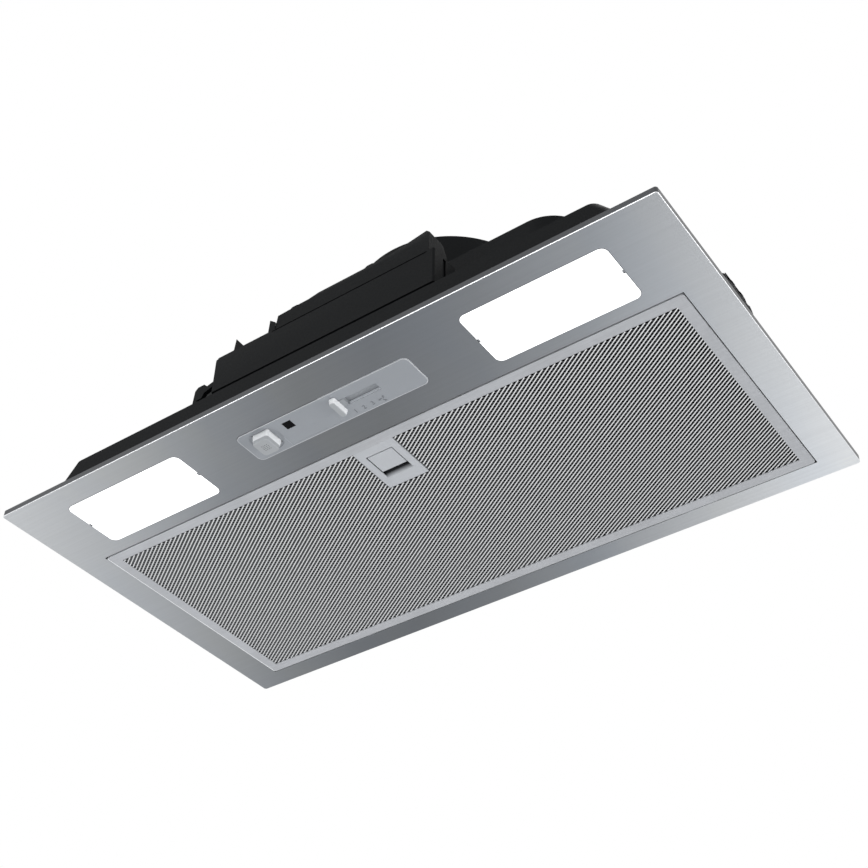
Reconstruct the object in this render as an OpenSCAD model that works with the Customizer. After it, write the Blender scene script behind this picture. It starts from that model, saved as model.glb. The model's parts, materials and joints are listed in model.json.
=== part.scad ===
// Range hood insert for a cabinet bottom, in millimetres.
// Origin: centre of the cabinet cut-out, on the plane of the rim's top edge. +Z up, -Y front, +X right.

/* [Bottom panel] */
// Width of the steel panel
panel_w = 525; // [515:1:540]
// Depth of the steel panel
panel_d = 285; // [280:1:300]
// Height of the turned-up rim
rim_h = 5; // [4.5:0.5:8]
// Thickness of the steel sheet
sheet_t = 0.8; // [0.6:0.1:1]
// Plan radius of the panel's corners
panel_r = 2; // [1.5:0.5:6]

/* [Casing base] */
// Width of the panel's edge beyond each end of the casing
side_edge = 17.5; // [16:0.5:20]
// Width of the panel's edge beyond the casing's front and rear
front_edge = 15.5; // [14.5:0.5:17]
// Height of the casing base above the rim's top edge
base_h = 33; // [31:0.5:38]
// How far each end wall leans in between the rim and the deck
end_lean = 27; // [22:1:28]
// Plan radius of the casing's corners
base_r = 8; // [6:1:12]
// Wall thickness of the moulded casing
wall_t = 1.8; // [1.6:0.1:2]

/* [Filter] */
// Distance from the casing's end to the grease filter
filter_side = 7.5; // [6.5:0.5:20]
// Distance from the casing's rear face to the filter's rear edge
filter_back = 2.3; // [2.2:0.1:5]
// Depth of the strip for lamps and controls, from the casing's front face to the filter
strip_d = 61.7; // [61:0.1:70]
// Thickness of the filter from its face to its back
filter_t = 9; // [8:0.5:11]
// Width of the filter frame's border
border_w = 8; // [6:0.5:10]
// Gap between the filter and the panel's opening
filter_gap = 0.8; // [0.6:0.1:1.2]
// Gap between the filter's rear edge and the panel's opening
rear_gap = 1.2; // [1.1:0.1:1.5]

/* [Latch] */
// Width of the latch plate
latch_w = 32.4; // [28:0.2:40]
// Depth of the latch plate
latch_d = 42.3; // [40:0.1:50]
// Width of the latch handle
handle_w = 20; // [16:0.5:22]
// Depth of the latch handle
handle_d = 17.5; // [15:0.5:18]
// Travel of the latch
latch_travel = 4; // [3.8:0.1:4.4]
// Reach of the tongue past the filter's front edge
tongue_reach = 3.4; // [2.6:0.1:3.5]

/* [Lamps] */
// Distance from the casing's end to a lamp diffuser
lamp_end = 27.25; // [24:0.25:40]
// Distance from the control plate's end to a lamp diffuser
lamp_beside = 44.75; // [40:0.25:60]
// Depth of a lamp diffuser
lamp_d = 47; // [40:0.5:47.5]
// Corner radius of a lamp diffuser
lamp_r = 5; // [3:0.5:8]
// Distance from the casing's front face back to the lamps' centres
lamp_back = 26.5; // [26:0.25:27.5]

/* [Controls] */
// Width of the control plate
plate_w = 140; // [136:1:142]
// Depth of the control plate
plate_d = 27.5; // [26:0.5:28]
// Corner radius of the control plate
plate_r = 4.5; // [3:0.5:6]
// Distance from the casing's front face back to the control plate's centre
plate_back = 26.25; // [25.5:0.25:27]
// Width of the light button
button_w = 13.6; // [12:0.2:17]
// Depth of the light button
button_d = 15; // [11:0.5:15.5]
// Height of the light button below the panel
button_h = 7.5; // [5:0.5:10]
// Travel of the light button
button_travel = 1.5; // [1:0.1:1.7]
// Width of the slider knob
knob_w = 4.8; // [4:0.2:7]
// Depth of the slider knob
knob_d = 15.4; // [12:0.2:19]
// Height of the slider knob below the control plate
knob_h = 4.5; // [3:0.1:8]
// Travel of the slider
slider_travel = 25; // [20:0.5:25.5]
// Width of the slider's slot across its travel
slot_d = 6.7; // [5:0.1:8]

/* [Electronics box] */
// Left end of the electronics box
box_left = -84.7; // [-95:0.5:-75]
// Right end of the electronics box
box_right = 96; // [85:0.5:100]
// Depth of the electronics box
box_d = 25; // [22:0.5:30]
// Height of the electronics box
box_h = 31; // [28:0.5:40]
// Height of the shadow gap under the electronics box
box_gap = 2; // [1:0.5:3]
// Left end of the lid
lid_left = -32; // [-50:0.5:-20]
// Height of the lid
lid_h = 19.5; // [15:0.5:25]

/* [Blower housing] */
// Height of the blower housing above the base plate
housing_h = 69.5; // [69:0.5:75]
// Wall thickness of the blower housing
housing_t = 2.2; // [1.8:0.1:2.6]
// Thickness of the volute base plate
base_plate_t = 2.5; // [2:0.1:3]
// Gap between the electronics box and the housing's front wall
front_gap = 20; // [17:0.5:24]
// Distance from the casing's rear face to the housing's rear wall
rear_step = 43; // [37:0.5:47]
// Distance from the casing's right end to the housing's right wall
right_step = 72; // [66:0.5:77]
// Plan radius of the housing's right corners
housing_r = 31; // [20:1:34]
// Width of the wiring compartment with its walls
compartment_w = 67; // [63:0.5:69]
// Distance from the casing's left end to the fan's axis
fan_in = 127; // [125:0.5:128]
// Distance from the cut-out's centre back to the fan's axis
fan_y = 14; // [12:0.5:16]
// Radius of the volute at its tongue
volute_r = 70; // [68:0.5:71]

/* [Fan and motor] */
// Outer radius of the impeller
wheel_r = 64; // [60:0.5:65]
// Radial length of an impeller blade
blade_l = 12; // [10:0.5:13]
// Number of impeller blades
blades = 36; // [24:1:44]
// Height of the impeller
wheel_h = 55; // [50:0.5:56]
// Radius of the inlet's bell mouth
inlet_r = 51.5; // [46:0.5:52]
// Radius of the motor
motor_r = 36; // [33:0.5:37]
// Radius of the motor shaft
shaft_r = 4; // [3:0.1:5]
// Running gap between the shaft and its bearings
bearing_gap = 0.03; // [0.02:0.01:0.06]

/* [Outlet] */
// Outer radius of the duct spigot
spigot_r = 74.6; // [72:0.1:75]
// Wall thickness of the spigot
spigot_t = 2; // [1.6:0.1:2.4]
// Height of the spigot above the housing
spigot_h = 47; // [40:1:60]
// Distance from the middle right to the spigot's axis
spigot_x = 27; // [27:0.5:29]
// Distance from the cut-out's centre forward to the spigot's axis
spigot_y = 5; // [3:0.5:6]
// Radius of the flap pin
pin_r = 1.5; // [1.2:0.1:2]
// Running gap between the flap pin and the flaps
pin_gap = 0.06; // [0.04:0.01:0.08]

/* [Side clips] */
// Width of a side clip
clip_w = 38.6; // [30:0.2:44]
// Top of a side clip above the rim's top edge
clip_h = 54; // [50:0.5:58]
// Thickness of the clip's spring steel
clip_t = 0.8; // [0.6:0.1:1]

/* [Hidden] */
$fn = 48;

steel = "#b4b8bc";
white = "#f2f3f4";
grey = "#a9adb1";
black = "#26272a";
e = 0.01;
touch_gap = 0.3;

// Levels of the panel
face_z = -rim_h;
panel_top = face_z + sheet_t;

// Casing at the cut-out
casing_w = panel_w - 2 * side_edge;
casing_d = panel_d - 2 * front_edge;
front_y = -casing_d / 2;

// Filter and its opening in the panel
filter_w = casing_w - 2 * filter_side;
filter_front = front_y + strip_d;
filter_rear = casing_d / 2 - filter_back;
filter_d = filter_rear - filter_front;
open_w = filter_w + 2 * filter_gap;
open_front = filter_front - filter_gap;
open_rear = filter_rear + rear_gap;
return_h = 6;

// Filter levels
filter_proud = 0.5;
filter_z = face_z - filter_proud;
filter_top = filter_z + filter_t;
frame_t = 0.7;
frame_r = 2;
mesh_t = 0.6;
mesh_z = filter_z + frame_t;
core_z = mesh_z + mesh_t;
back_z = filter_top - frame_t - mesh_t;
core_t = 0.5;
core_pitch = 11.5;
core_gap = 0.5;

// Rear hooks, whose beads are the filter's hinge
hook_w = 20;
hook_in = 87.5;
hook_x = filter_w / 2 - hook_in;
bead_r = 1;
bead_y = filter_rear + 0.7;
bead_z = panel_top + bead_r + 0.2;
hook_room = 2;

// Latch
latch_front = filter_front + border_w;
latch_rear = latch_front + latch_d;
latch_wall = 1;
handle_front = latch_front + 8.2;
handle_rear = handle_front + handle_d;
handle_gap = 0.9;
handle_t = 3;
window_rear = latch_rear - 9.8;
carriage_front = latch_front + 2.6;
carriage_w = 15;
tongue_w = 12;
tongue_t = 2;
tongue_z = filter_z + 4;
carriage_top = filter_z + 7.3;
ramp_h = 3.9;
ramp_l = window_rear - handle_rear - latch_travel - 0.4;
latch_spring_r = 1.7;
latch_wire = 0.5;

// Studs and nuts on the panel
stud_r = 2;
stud_h = 6.5;
nut_w = 7;
nut_h = 3.2;
tab_t = 2.5;
stud_gap = 0.05;

// Lamps
lamp_w = casing_w / 2 - lamp_end - plate_w / 2 - lamp_beside;
lamp_x = casing_w / 2 - lamp_end - lamp_w / 2;
lamp_y = -front_y - lamp_back;
lamp_gap = 0.4;
lamp_proud = 0.2;
lip_over_x = 2;
lip_over_y = 1;
lip_t = 1.5;
tray_h = 16;
tray_t = 1.5;
ear_l = 10;
ear_w = 12;
led_board_w = lamp_w - 11;
led_board_d = lamp_d - 13;
board_t = 1.6;
led_cols = 6;
led_rows = 2;
led_margin = 8.5;
led_step = (led_board_w - 2 * led_margin) / (led_cols - 1);
led_row_step = 16;
led_w = 3.5;
led_d = 2.8;
led_h = 0.9;

// Control strip
plate_x = -0.5;
plate_y = -front_y - plate_back;
plate_left = plate_x - plate_w / 2;
plate_gap = 0.3;
plate_proud = 0.5;
plate_z = face_z - plate_proud;
plate_lip = 2;
plate_top = panel_top + lip_t;
frame_top = plate_top + 18.7;
frame_wall = 1.5;
board_z = frame_top - frame_wall - 3.5;
button_in = 17.8;
button_x = plate_left + button_in;
button_y = plate_y + 1.65;
button_draft = 0.5;
button_gap = 0.3;
button_z = face_z - button_h;
button_flange = 1.2;
flange_over = 1.2;
button_boss_r = 3;
button_boss_h = 1.8;
plunger_h = 1.1;
switch_z = plate_top + touch_gap + button_flange + button_boss_h + button_travel + touch_gap + plunger_h;
button_spring_r = 3.9;
button_wire = 0.6;
lens_w = 6.9;
lens_d = 6.5;
lens_in = 39.1;
lens_x = plate_left + lens_in;
lens_y = plate_y + 4.95;
lens_gap = 0.1;
slot_in = 74.5;
slot_room = 10.6;
slot_x0 = plate_left + slot_in;
slot_x1 = slot_x0 + slider_travel + slot_room;
slot_y = plate_y + 1.9;
knob_in = 3.5;
knob_x = slot_x0 + knob_in;
knob_draft = 0.4;
shutter_left = 32;
shutter_t = 1;
stem_w = 2;
stem_h = 7;
carriage_l = 4.2;
speed_x0 = slot_x0 - 8;
speed_x1 = slot_x1 + 4.4;
speed_d = 13;
speed_z = plate_top + 5.2;
pad_in = 28.5;
pad_clear = 4;
pad_y0 = 3.4;
pad_y1 = 12;
pad_step = 0.2;
dish_r = 11.5;
dish_step = 0.4;
groove_h = 5;

// Casing base
deck_z = base_h - wall_t;
top_w = casing_w - 2 * end_lean;
divider_y = open_front - sheet_t - wall_t;
inlet_deck_r = inlet_r + 8;
rib_y = [for (k = [0 : 2]) filter_front + filter_d * (k + 0.5) / 3];
rib_t = 3;
casing_tab = 12;
casing_stud_x = plate_w / 2 + 20;
casing_stud_front = -front_y - 8;
casing_stud_rear = -divider_y + 5;
control_stud_x = plate_w / 2 + plate_lip + ear_l / 2;
lamp_stud_x = lamp_w / 2 + lip_over_x + ear_l / 2;
slot_half = 8;
boss_r = 4.5;
boss_h = 11;

// Clips
clip_face = casing_w / 2 - 9;
clip_foot = 11;
clip_boss_top = 27;
clip_screw_z = (clip_foot + clip_boss_top) / 2;
clip_screw_l = 8;
clip_bend_r = 5.5;
clip_out = 15;
clip_low = 24;
clip_slot_w = 8.8;
clip_slot_pitch = 12.4;
clip_slot_h = 7;

// Electronics box
box_z = base_h + box_gap;
box_top = box_z + box_h;
box_front = front_y;
box_rear = box_front + box_d;
plinth_in = 1.2;
box_t = 2;
lid_front = box_front + 2;
lid_rear = box_rear - 1;
lid_right = box_right - 2;
lid_top = box_top + lid_h;
lid_chamfer = 8;
lid_peak = 3.5;
board_up = 3;
driver_in = 64.7;
driver_w = 70;
driver_h = 19;
choke_in = 14.7;
choke_w = 25;
choke_h = 14;

// Blower housing
plate_bottom = base_h;
housing_z = plate_bottom + base_plate_t;
housing_top = housing_z + housing_h;
housing_front = -box_rear - front_gap;
housing_rear = casing_d / 2 - rear_step;
housing_right = casing_w / 2 - right_step;
partition_x = housing_right - compartment_w;
fan = [fan_in - casing_w / 2, fan_y];
tongue_a = -40;
exit_a = 270;
exit_r = fan_y + housing_front - housing_t;
inner_front = -housing_front + housing_t;
inner_rear = housing_rear - housing_t;
duct_x = fan[0] + volute_r * cos(tongue_a);
duct_y = fan[1] + volute_r * sin(tongue_a);
screw_off = 5;
ear_r = 6.5;
ear_t = 3;
screw_r = 1.75;
screw_gap = 0.2;
head_r = 4;
head_h = 2.5;
screw_bite = 9;

function volute(a) = volute_r + (exit_r - volute_r) * (a - tongue_a) / (exit_a - tongue_a);
function on_volute(a, add) = [fan[0] + (volute(a) + add) * cos(a), fan[1] + (volute(a) + add) * sin(a)];
block_y = inner_rear - 41.8;
ears = [on_volute(135, housing_t + screw_off), on_volute(195, housing_t + screw_off),
    [fan[0] + 48, -housing_front - screw_off], [partition_x + 19, -housing_front - screw_off],
    [housing_right + screw_off, block_y - 36],
    [partition_x + 4, housing_rear + screw_off], [duct_x + 64, housing_rear + screw_off]];

// Fan and motor
wheel_z = housing_z + 5;
wheel_top = wheel_z + wheel_h;
ring_h = 2.5;
bell_over = 1.5;
bell_t = 2.5;
grille_t = 2.5;
grille_pitch = 9;
blade_t = 1;
blade_in = wheel_r - blade_l;
disc_t = 2;
dome_r = motor_r + 6;
dome_z = wheel_z + 15.5;
hub_r = 10;
hub_h = 12;
shaft_out = 1;
ceiling = housing_top - housing_t;
bush_h = 4;
bush_r = 6;
motor_top = ceiling - bush_h;
cap_h = 12;
cap_t = 2;
stator_h = 12;
winding_h = 5.5;
winding_in = 2;
stator_z = motor_top - cap_h - stator_h;
motor_z = stator_z - cap_h;
bore_r = 20;
air_gap = 0.4;
rotor_h = 14;
bearing_r = 8;
bearing_h = 5;
bearing_boss = 3;
motor_screw_r = 2;
motor_screw_ring = 30;
motor_hole_r = 12;

// Outlet
spigot = [spigot_x, -spigot_y];
spigot_in = spigot_r - spigot_t;
collar_flange = 2.4;
collar_flange_t = 2.5;
spigot_top = housing_top + spigot_h;
lead_in = 1.2;
collar_ear = 81.5;
ledge_w = 3.6;
ledge_t = 2;
pin_z = housing_top + 14;
flap_t = 1.2;
flap_drop = 1.4;
knuckle_r = 3;
knuckle_n = 5;
knuckle_l = 24;
knuckle_gap = 0.6;
pin_boss = 8;
flap_r = spigot_in - 0.8;

// Wiring compartment
comp_x = (partition_x + housing_t + housing_right - housing_t) / 2;
cap_r = 15;
cap_l = 58;
cap_y = inner_front + 28;
strap_h = 8;
cap_clip_t = 2;
block_w = 36;
block_d = 40;
block_h = 20;
pole_step = 11;
poles = 3;
hatch_d = 50;
hatch_z0 = housing_z + 10;
hatch_z1 = ceiling - 8;
cover_over = 4;
cover_t = 2;
gland_z = housing_z + 26;
gland_x = partition_x + 18;
gland_bore = 4.5;
gland_r = 9;
gland_nut = 13;
gland_l = 14;

module rounded(w, d, r) {
    square([w - 2 * r, d], center = true);
    square([w, d - 2 * r], center = true);
    for (sx = [-1, 1], sy = [-1, 1])
        translate([sx * (w / 2 - r), sy * (d / 2 - r)]) circle(r);
}

module slab(w, d, r, z0, z1) {
    translate([0, 0, z0]) linear_extrude(z1 - z0) rounded(w, d, r);
}

module block(x0, x1, y0, y1, z0, z1) {
    translate([x0, y0, z0]) cube([x1 - x0, y1 - y0, z1 - z0]);
}

module post(x, y, z0, z1, r) {
    translate([x, y, z0]) cylinder(r = r, h = z1 - z0);
}

// A wire wound as a helix about +Z, from height 0 to h
module coil(r, wire, h, turns, steps = 14, sides = 6) {
    n = turns * steps;
    function ring(i) = let (a = 360 * i / steps, z = wire / 2 + (h - wire) * i / n)
        [for (k = [0 : sides - 1]) let (b = 360 * k / sides)
            [(r + wire / 2 * cos(b)) * cos(a), (r + wire / 2 * cos(b)) * sin(a), z + wire / 2 * sin(b)]];
    points = [for (i = [0 : n]) each ring(i)];
    faces = concat([[for (k = [0 : sides - 1]) k]],
        [for (i = [0 : n - 1], k = [0 : sides - 1])
            let (a = i * sides + k, b = i * sides + (k + 1) % sides)
            each [[a, a + sides, b], [b, a + sides, b + sides]]],
        [[for (k = [sides - 1 : -1 : 0]) n * sides + k]]);
    polyhedron(points, faces, convexity = 10);
}

// A round-headed screw along -Z, its head's underside at the origin
module screw(r, l, hr, hh) {
    translate([0, 0, -l]) cylinder(r = r, h = l);
    difference() {
        cylinder(r = hr, h = hh);
        for (a = [0, 90]) rotate(a) translate([-hr * 0.55, -hr * 0.1, hh - 1])
            cube([hr * 1.1, hr * 0.2, 2]);
    }
}

module stud_places() {
    for (s = [-1, 1]) {
        translate([s * casing_stud_x, -casing_stud_front]) children();
        translate([s * casing_stud_x, -casing_stud_rear]) children();
        translate([plate_x + s * control_stud_x, -plate_y]) children();
        for (k = [-1, 1]) translate([s * lamp_x + k * lamp_stud_x, -lamp_y]) children();
    }
}

module bottom_panel() {
    color(steel) {
        difference() {
            union() {
                slab(panel_w, panel_d, panel_r, face_z, panel_top);
                difference() {
                    slab(panel_w, panel_d, panel_r, face_z, 0);
                    slab(panel_w - 2 * sheet_t, panel_d - 2 * sheet_t, panel_r - sheet_t, face_z - 1, 1);
                }
                block(-open_w / 2 - sheet_t, open_w / 2 + sheet_t, open_front - sheet_t, open_rear - 6,
                    panel_top, panel_top + return_h);
            }
            block(-open_w / 2, open_w / 2, open_front, open_rear, face_z - 1, panel_top + return_h + 1);
            for (s = [-1, 1]) translate([s * lamp_x, -lamp_y])
                slab(lamp_w + 2 * lamp_gap, lamp_d + 2 * lamp_gap, lamp_r + lamp_gap, face_z - 1, 1);
            translate([plate_x, -plate_y])
                slab(plate_w + 2 * plate_gap, plate_d + 2 * plate_gap, plate_r + plate_gap, face_z - 1, 1);
            tongue_slot();
        }
        stud_places() translate([0, 0, panel_top - e]) cylinder(r = stud_r, h = stud_h);
    }
}

module tongue_slot() {
    block(-slot_half, slot_half, divider_y - 1, open_front + 1,
        tongue_z - touch_gap, tongue_z + tongue_t + touch_gap);
}

module panel_nuts() {
    color("silver") stud_places() translate([0, 0, panel_top + tab_t]) difference() {
        cylinder(r = nut_w / sqrt(3), h = nut_h, $fn = 6);
        translate([0, 0, -1]) cylinder(r = stud_r + stud_gap, h = nut_h + 2, $fn = 32);
    }
}

module base_form(inset, z0, z1) {
    lean = end_lean / base_h;
    hull() {
        slab(casing_w - 2 * inset, casing_d - 2 * inset, base_r - inset, z0, 0);
        slab(casing_w - 2 * inset - 2 * lean * z1, casing_d - 2 * inset, base_r - inset, z1 - 1, z1);
    }
}

module casing_base() {
    color(black) difference() {
        union() {
            difference() {
                union() {
                    base_form(0, panel_top, base_h);
                    // Bosses behind the side clips
                    for (s = [-1, 1]) block(min(s * top_w / 2, s * clip_face), max(s * top_w / 2,
                        s * clip_face),
                        -clip_w / 2 - 2, clip_w / 2 + 2, clip_foot, clip_boss_top);
                }
                base_form(wall_t, panel_top - 1, deck_z);
            }
            // Divider between the lamps and the suction space
            intersection() {
                block(-casing_w / 2, casing_w / 2, divider_y, divider_y + wall_t, panel_top, base_h - 1);
                base_form(wall_t / 2, panel_top, base_h - 1);
            }
            // Ribs that bear on the panel's return flange
            for (s = [-1, 1], y = rib_y)
                translate([s > 0 ? open_w / 2 + sheet_t : -casing_w / 2 + wall_t / 2, y - rib_t / 2,
                    panel_top])
                    cube([(casing_w - open_w) / 2 - sheet_t - wall_t / 2, rib_t, return_h]);
            // Tabs under the panel's nuts
            for (s = [-1, 1]) {
                translate([s * casing_stud_x - casing_tab / 2, front_y + wall_t / 2, panel_top])
                    cube([casing_tab, -front_y - casing_stud_front + casing_tab / 2, tab_t]);
                translate([s * casing_stud_x - casing_tab / 2, -casing_stud_rear - casing_tab / 2,
                    panel_top])
                    cube([casing_tab, casing_stud_rear + divider_y + casing_tab / 2 + 1, tab_t]);
            }
            for (p = ears) post(p[0], p[1], deck_z - boss_h, deck_z + 1, boss_r);
            // Plinth of the electronics box
            block(box_left + plinth_in, box_right - plinth_in, box_front + plinth_in, box_rear - plinth_in,
                base_h - 1, box_z);
            // Hook that holds the box's left end
            side_hook();
        }
        post(fan[0], fan[1], deck_z - 1, base_h + 1, inlet_deck_r);
        tongue_slot();
        // Relief over the rear edge of the filter's opening
        block(-open_w / 2, open_w / 2, open_rear - 2, open_rear, panel_top - 1, panel_top + 0.8);
        for (s = [-1, 1]) translate([s * hook_x - hook_w / 2 - hook_room, casing_d / 2 - wall_t - 1,
            panel_top - 1])
            cube([hook_w + 2 * hook_room, wall_t + 2, 4.6]);
        for (s = [-1, 1]) {
            post(s * casing_stud_x, -casing_stud_front, panel_top - 1, panel_top + tab_t + 1,
                stud_r + screw_gap);
            post(s * casing_stud_x, -casing_stud_rear, panel_top - 1, panel_top + tab_t + 1,
                stud_r + screw_gap);
            for (y = [-1, 1]) translate([s * (clip_face + 1), y * clip_w / 4, clip_screw_z])
                rotate([0, -s * 90, 0]) cylinder(r = screw_r, h = clip_screw_l + 1);
        }
        for (p = ears) post(p[0], p[1], deck_z - boss_h + 2, base_h + 1, screw_r);
    }
}

module side_hook() {
    x1 = box_left - touch_gap;
    translate([0, box_front + 3, 0]) rotate([90, 0, 0]) linear_extrude(3) polygon([
        [x1 - 18, base_h - 1], [x1 - 17, base_h + 11], [x1 - 14.5, base_h + 13.5], [x1 - 9, base_h + 13.5],
        [x1 - 6, base_h + 10.5], [x1 - 1, base_h + 12], [x1, base_h + 8], [x1 - 8, base_h + 5.5],
        [x1 - 10, base_h + 1.5], [x1 - 14, base_h + 1.5], [x1 - 14, base_h - 1]]);
}

module filter_frame() {
    mid = (filter_front + filter_rear) / 2;
    color(steel) difference() {
        union() {
            translate([0, mid, 0]) difference() {
                slab(filter_w, filter_d, frame_r, filter_z, filter_top);
                slab(filter_w - 2 * frame_t, filter_d - 2 * frame_t, frame_r - frame_t, mesh_z,
                    filter_top - frame_t);
                slab(filter_w - 2 * border_w, filter_d - 2 * border_w, 1, filter_z - 1, filter_top + 1);
            }
            for (s = [-1, 1]) translate([s * hook_x - hook_w / 2, 0, 0]) {
                translate([0, bead_y, bead_z]) rotate([0, 90, 0]) cylinder(r = bead_r, h = hook_w);
                block(0, hook_w, filter_rear - frame_t / 2, bead_y, bead_z - bead_r / 2,
                    bead_z + bead_r / 2);
            }
        }
        block(-tongue_w / 2 - touch_gap, tongue_w / 2 + touch_gap, filter_front - 1, filter_front + 2,
            tongue_z - touch_gap, tongue_z + tongue_t + touch_gap);
    }
}

module mesh_sheet(z0, z1) {
    difference() {
        translate([0, (filter_front + filter_rear) / 2, 0])
            slab(filter_w - 2 * frame_t, filter_d - 2 * frame_t, frame_r - frame_t, z0, z1);
        latch_notch();
    }
}

module latch_notch() {
    block(-latch_w / 2, latch_w / 2, filter_front, latch_rear, filter_z - 1, filter_top + 1);
}

module filter_face_mesh() {
    color("#8e9296") mesh_sheet(mesh_z, core_z);
}

// A folded sheet that keeps the face mesh and the back mesh apart
module filter_core() {
    w = filter_w / 2 - frame_t - core_gap;
    n = floor(2 * w / core_pitch);
    step = 2 * w / n;
    low = core_z;
    high = back_z - core_t;
    line = [for (i = [0 : n]) [-w + i * step, i % 2 == 0 ? low : high]];
    color("#9a9ea2") difference() {
        translate([0, filter_rear - frame_t - core_gap, 0]) rotate([90, 0, 0])
            linear_extrude(filter_d - 2 * frame_t - 2 * core_gap)
                polygon(concat(line, [for (i = [n : -1 : 0]) line[i] + [0, core_t]]));
        latch_notch();
    }
}

module filter_back_mesh() {
    color("#8e9296") mesh_sheet(back_z, back_z + mesh_t);
}

module latch_plate() {
    cavity_w = latch_w - 5;
    color(steel) difference() {
        block(-latch_w / 2, latch_w / 2, latch_front, latch_rear, filter_z, filter_top);
        difference() {
            block(-cavity_w / 2, cavity_w / 2, latch_front + latch_wall, latch_rear - latch_wall,
                filter_z + sheet_t, filter_top - latch_wall);
            // Ramp behind the handle
            translate([-cavity_w / 2, 0, 0]) rotate([90, 0, 90]) linear_extrude(cavity_w) polygon([
                [window_rear, filter_z], [window_rear - ramp_l, filter_z + ramp_h],
                [latch_rear, filter_z + ramp_h], [latch_rear, filter_z]]);
        }
        difference() {
            block(-handle_w / 2 - handle_gap, handle_w / 2 + handle_gap, handle_front - handle_gap,
                window_rear,
                filter_z - 1, filter_z + ramp_h);
            translate([-latch_w / 2, 0, 0]) rotate([90, 0, 90]) linear_extrude(latch_w) polygon([
                [window_rear, filter_z - e], [window_rear - ramp_l, filter_z + ramp_h],
                [latch_rear, filter_z + ramp_h + 1], [latch_rear, filter_z - e]]);
        }
        block(-tongue_w / 2 - touch_gap, tongue_w / 2 + touch_gap, latch_front - 1, latch_front + 2,
            tongue_z - touch_gap, tongue_z + tongue_t + touch_gap);
    }
}

module latch_handle() {
    color("#c4c8cc") {
        block(-handle_w / 2, handle_w / 2, handle_front, handle_rear,
            filter_z + 0.2, filter_z + 0.2 + handle_t);
        block(-carriage_w / 2, carriage_w / 2, carriage_front, handle_rear - 1,
            tongue_z - touch_gap, carriage_top);
        block(-handle_w / 2 + 1, handle_w / 2 - 1, handle_front + 1, handle_rear - 1,
            filter_z + handle_t, tongue_z);
        block(-tongue_w / 2, tongue_w / 2, filter_front - tongue_reach, carriage_front + 1,
            tongue_z, tongue_z + tongue_t);
    }
}

module latch_spring() {
    y0 = handle_rear - 1;
    color("silver") translate([0, y0, filter_z + ramp_h + latch_spring_r + latch_wire / 2 + 0.1])
        rotate([-90, 0, 0]) coil(latch_spring_r, latch_wire, latch_rear - latch_wall - y0, 8);
}

module diffuser(s) {
    color(white) translate([s * lamp_x, -lamp_y]) difference() {
        union() {
            slab(lamp_w, lamp_d, lamp_r, face_z - lamp_proud, panel_top);
            slab(lamp_w + 2 * lip_over_x, lamp_d + 2 * lip_over_y, lamp_r, panel_top, panel_top + lip_t);
        }
        for (k = [-1, 1]) translate([k * lamp_w / 2, 0, face_z - 1]) cube([2.4, 3, 3], center = true);
    }
}

module lamp_tray(s) {
    w = lamp_w + 2 * lip_over_x;
    d = lamp_d + 2 * lip_over_y;
    z0 = panel_top + lip_t;
    color(white) translate([s * lamp_x, -lamp_y]) {
        difference() {
            slab(w, d, lamp_r, z0, z0 + tray_h);
            slab(w - 2 * tray_t, d - 2 * tray_t, lamp_r - tray_t, z0 - 1, z0 + tray_h - tray_t);
            post(-w / 4, 0, z0, z0 + tray_h + 1, 4);
        }
        for (k = [-1, 1]) difference() {
            union() {
                block(min(k * w / 2, k * (w / 2 + ear_l)), max(k * w / 2, k * (w / 2 + ear_l)),
                    -ear_w / 2, ear_w / 2, panel_top, panel_top + tab_t);
                block(k > 0 ? w / 2 - 1 : -w / 2, k > 0 ? w / 2 : -w / 2 + 1,
                    -ear_w / 2, ear_w / 2, z0, panel_top + tab_t);
            }
            post(k * lamp_stud_x, 0, panel_top - 1, panel_top + tab_t + 1, stud_r + screw_gap);
        }
        for (k = [-1, 1], j = [-1, 1])
            post(k * (led_board_w / 2 - 7), j * (led_board_d / 2 - 5),
                z0 + tray_h - tray_t - 3, z0 + tray_h - tray_t + e, 2.5);
    }
}

module led_board(s) {
    top = panel_top + lip_t + tray_h - tray_t - 3;
    color("white") translate([s * lamp_x, -lamp_y]) {
        slab(led_board_w, led_board_d, 2, top - board_t, top);
        for (i = [0 : led_cols - 1], j = [0 : led_rows - 1])
            translate([(i - (led_cols - 1) / 2) * led_step - led_w / 2,
                (j - (led_rows - 1) / 2) * led_row_step - led_d / 2, top - board_t - led_h])
                cube([led_w, led_d, led_h + e]);
    }
}

module control_plate() {
    color(grey) translate([plate_x, -plate_y]) difference() {
        union() {
            slab(plate_w, plate_d, plate_r, plate_z, panel_top);
            slab(plate_w + 2 * plate_lip, plate_d + 2 * plate_lip, plate_r, panel_top, plate_top);
        }
        translate([-plate_x, plate_y]) {
            // Shallow dish round the button
            post(button_x, -button_y, plate_z - 1, plate_z + dish_step, dish_r);
            block(button_x - button_w / 2 - button_gap, button_x + button_w / 2 + button_gap,
                -button_y - button_d / 2 - button_gap, -button_y + button_d / 2 + button_gap,
                plate_z - 1, plate_top + 1);
            block(slot_x0, slot_x1, -slot_y - slot_d / 2, -slot_y + slot_d / 2, plate_z - 1, plate_top + 1);
            block(lens_x - lens_w / 2 - lens_gap, lens_x + lens_w / 2 + lens_gap,
                -lens_y - lens_d / 2 - lens_gap, -lens_y + lens_d / 2 + lens_gap, plate_z - 1,
                    plate_top + 1);
            // Bare pad, a shallow step beside the button
            block(plate_left + pad_in, slot_x0 - pad_clear, -plate_y + pad_y0, -plate_y + pad_y1,
                plate_z - 1,
                plate_z + pad_step);
        }
    }
}

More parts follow.
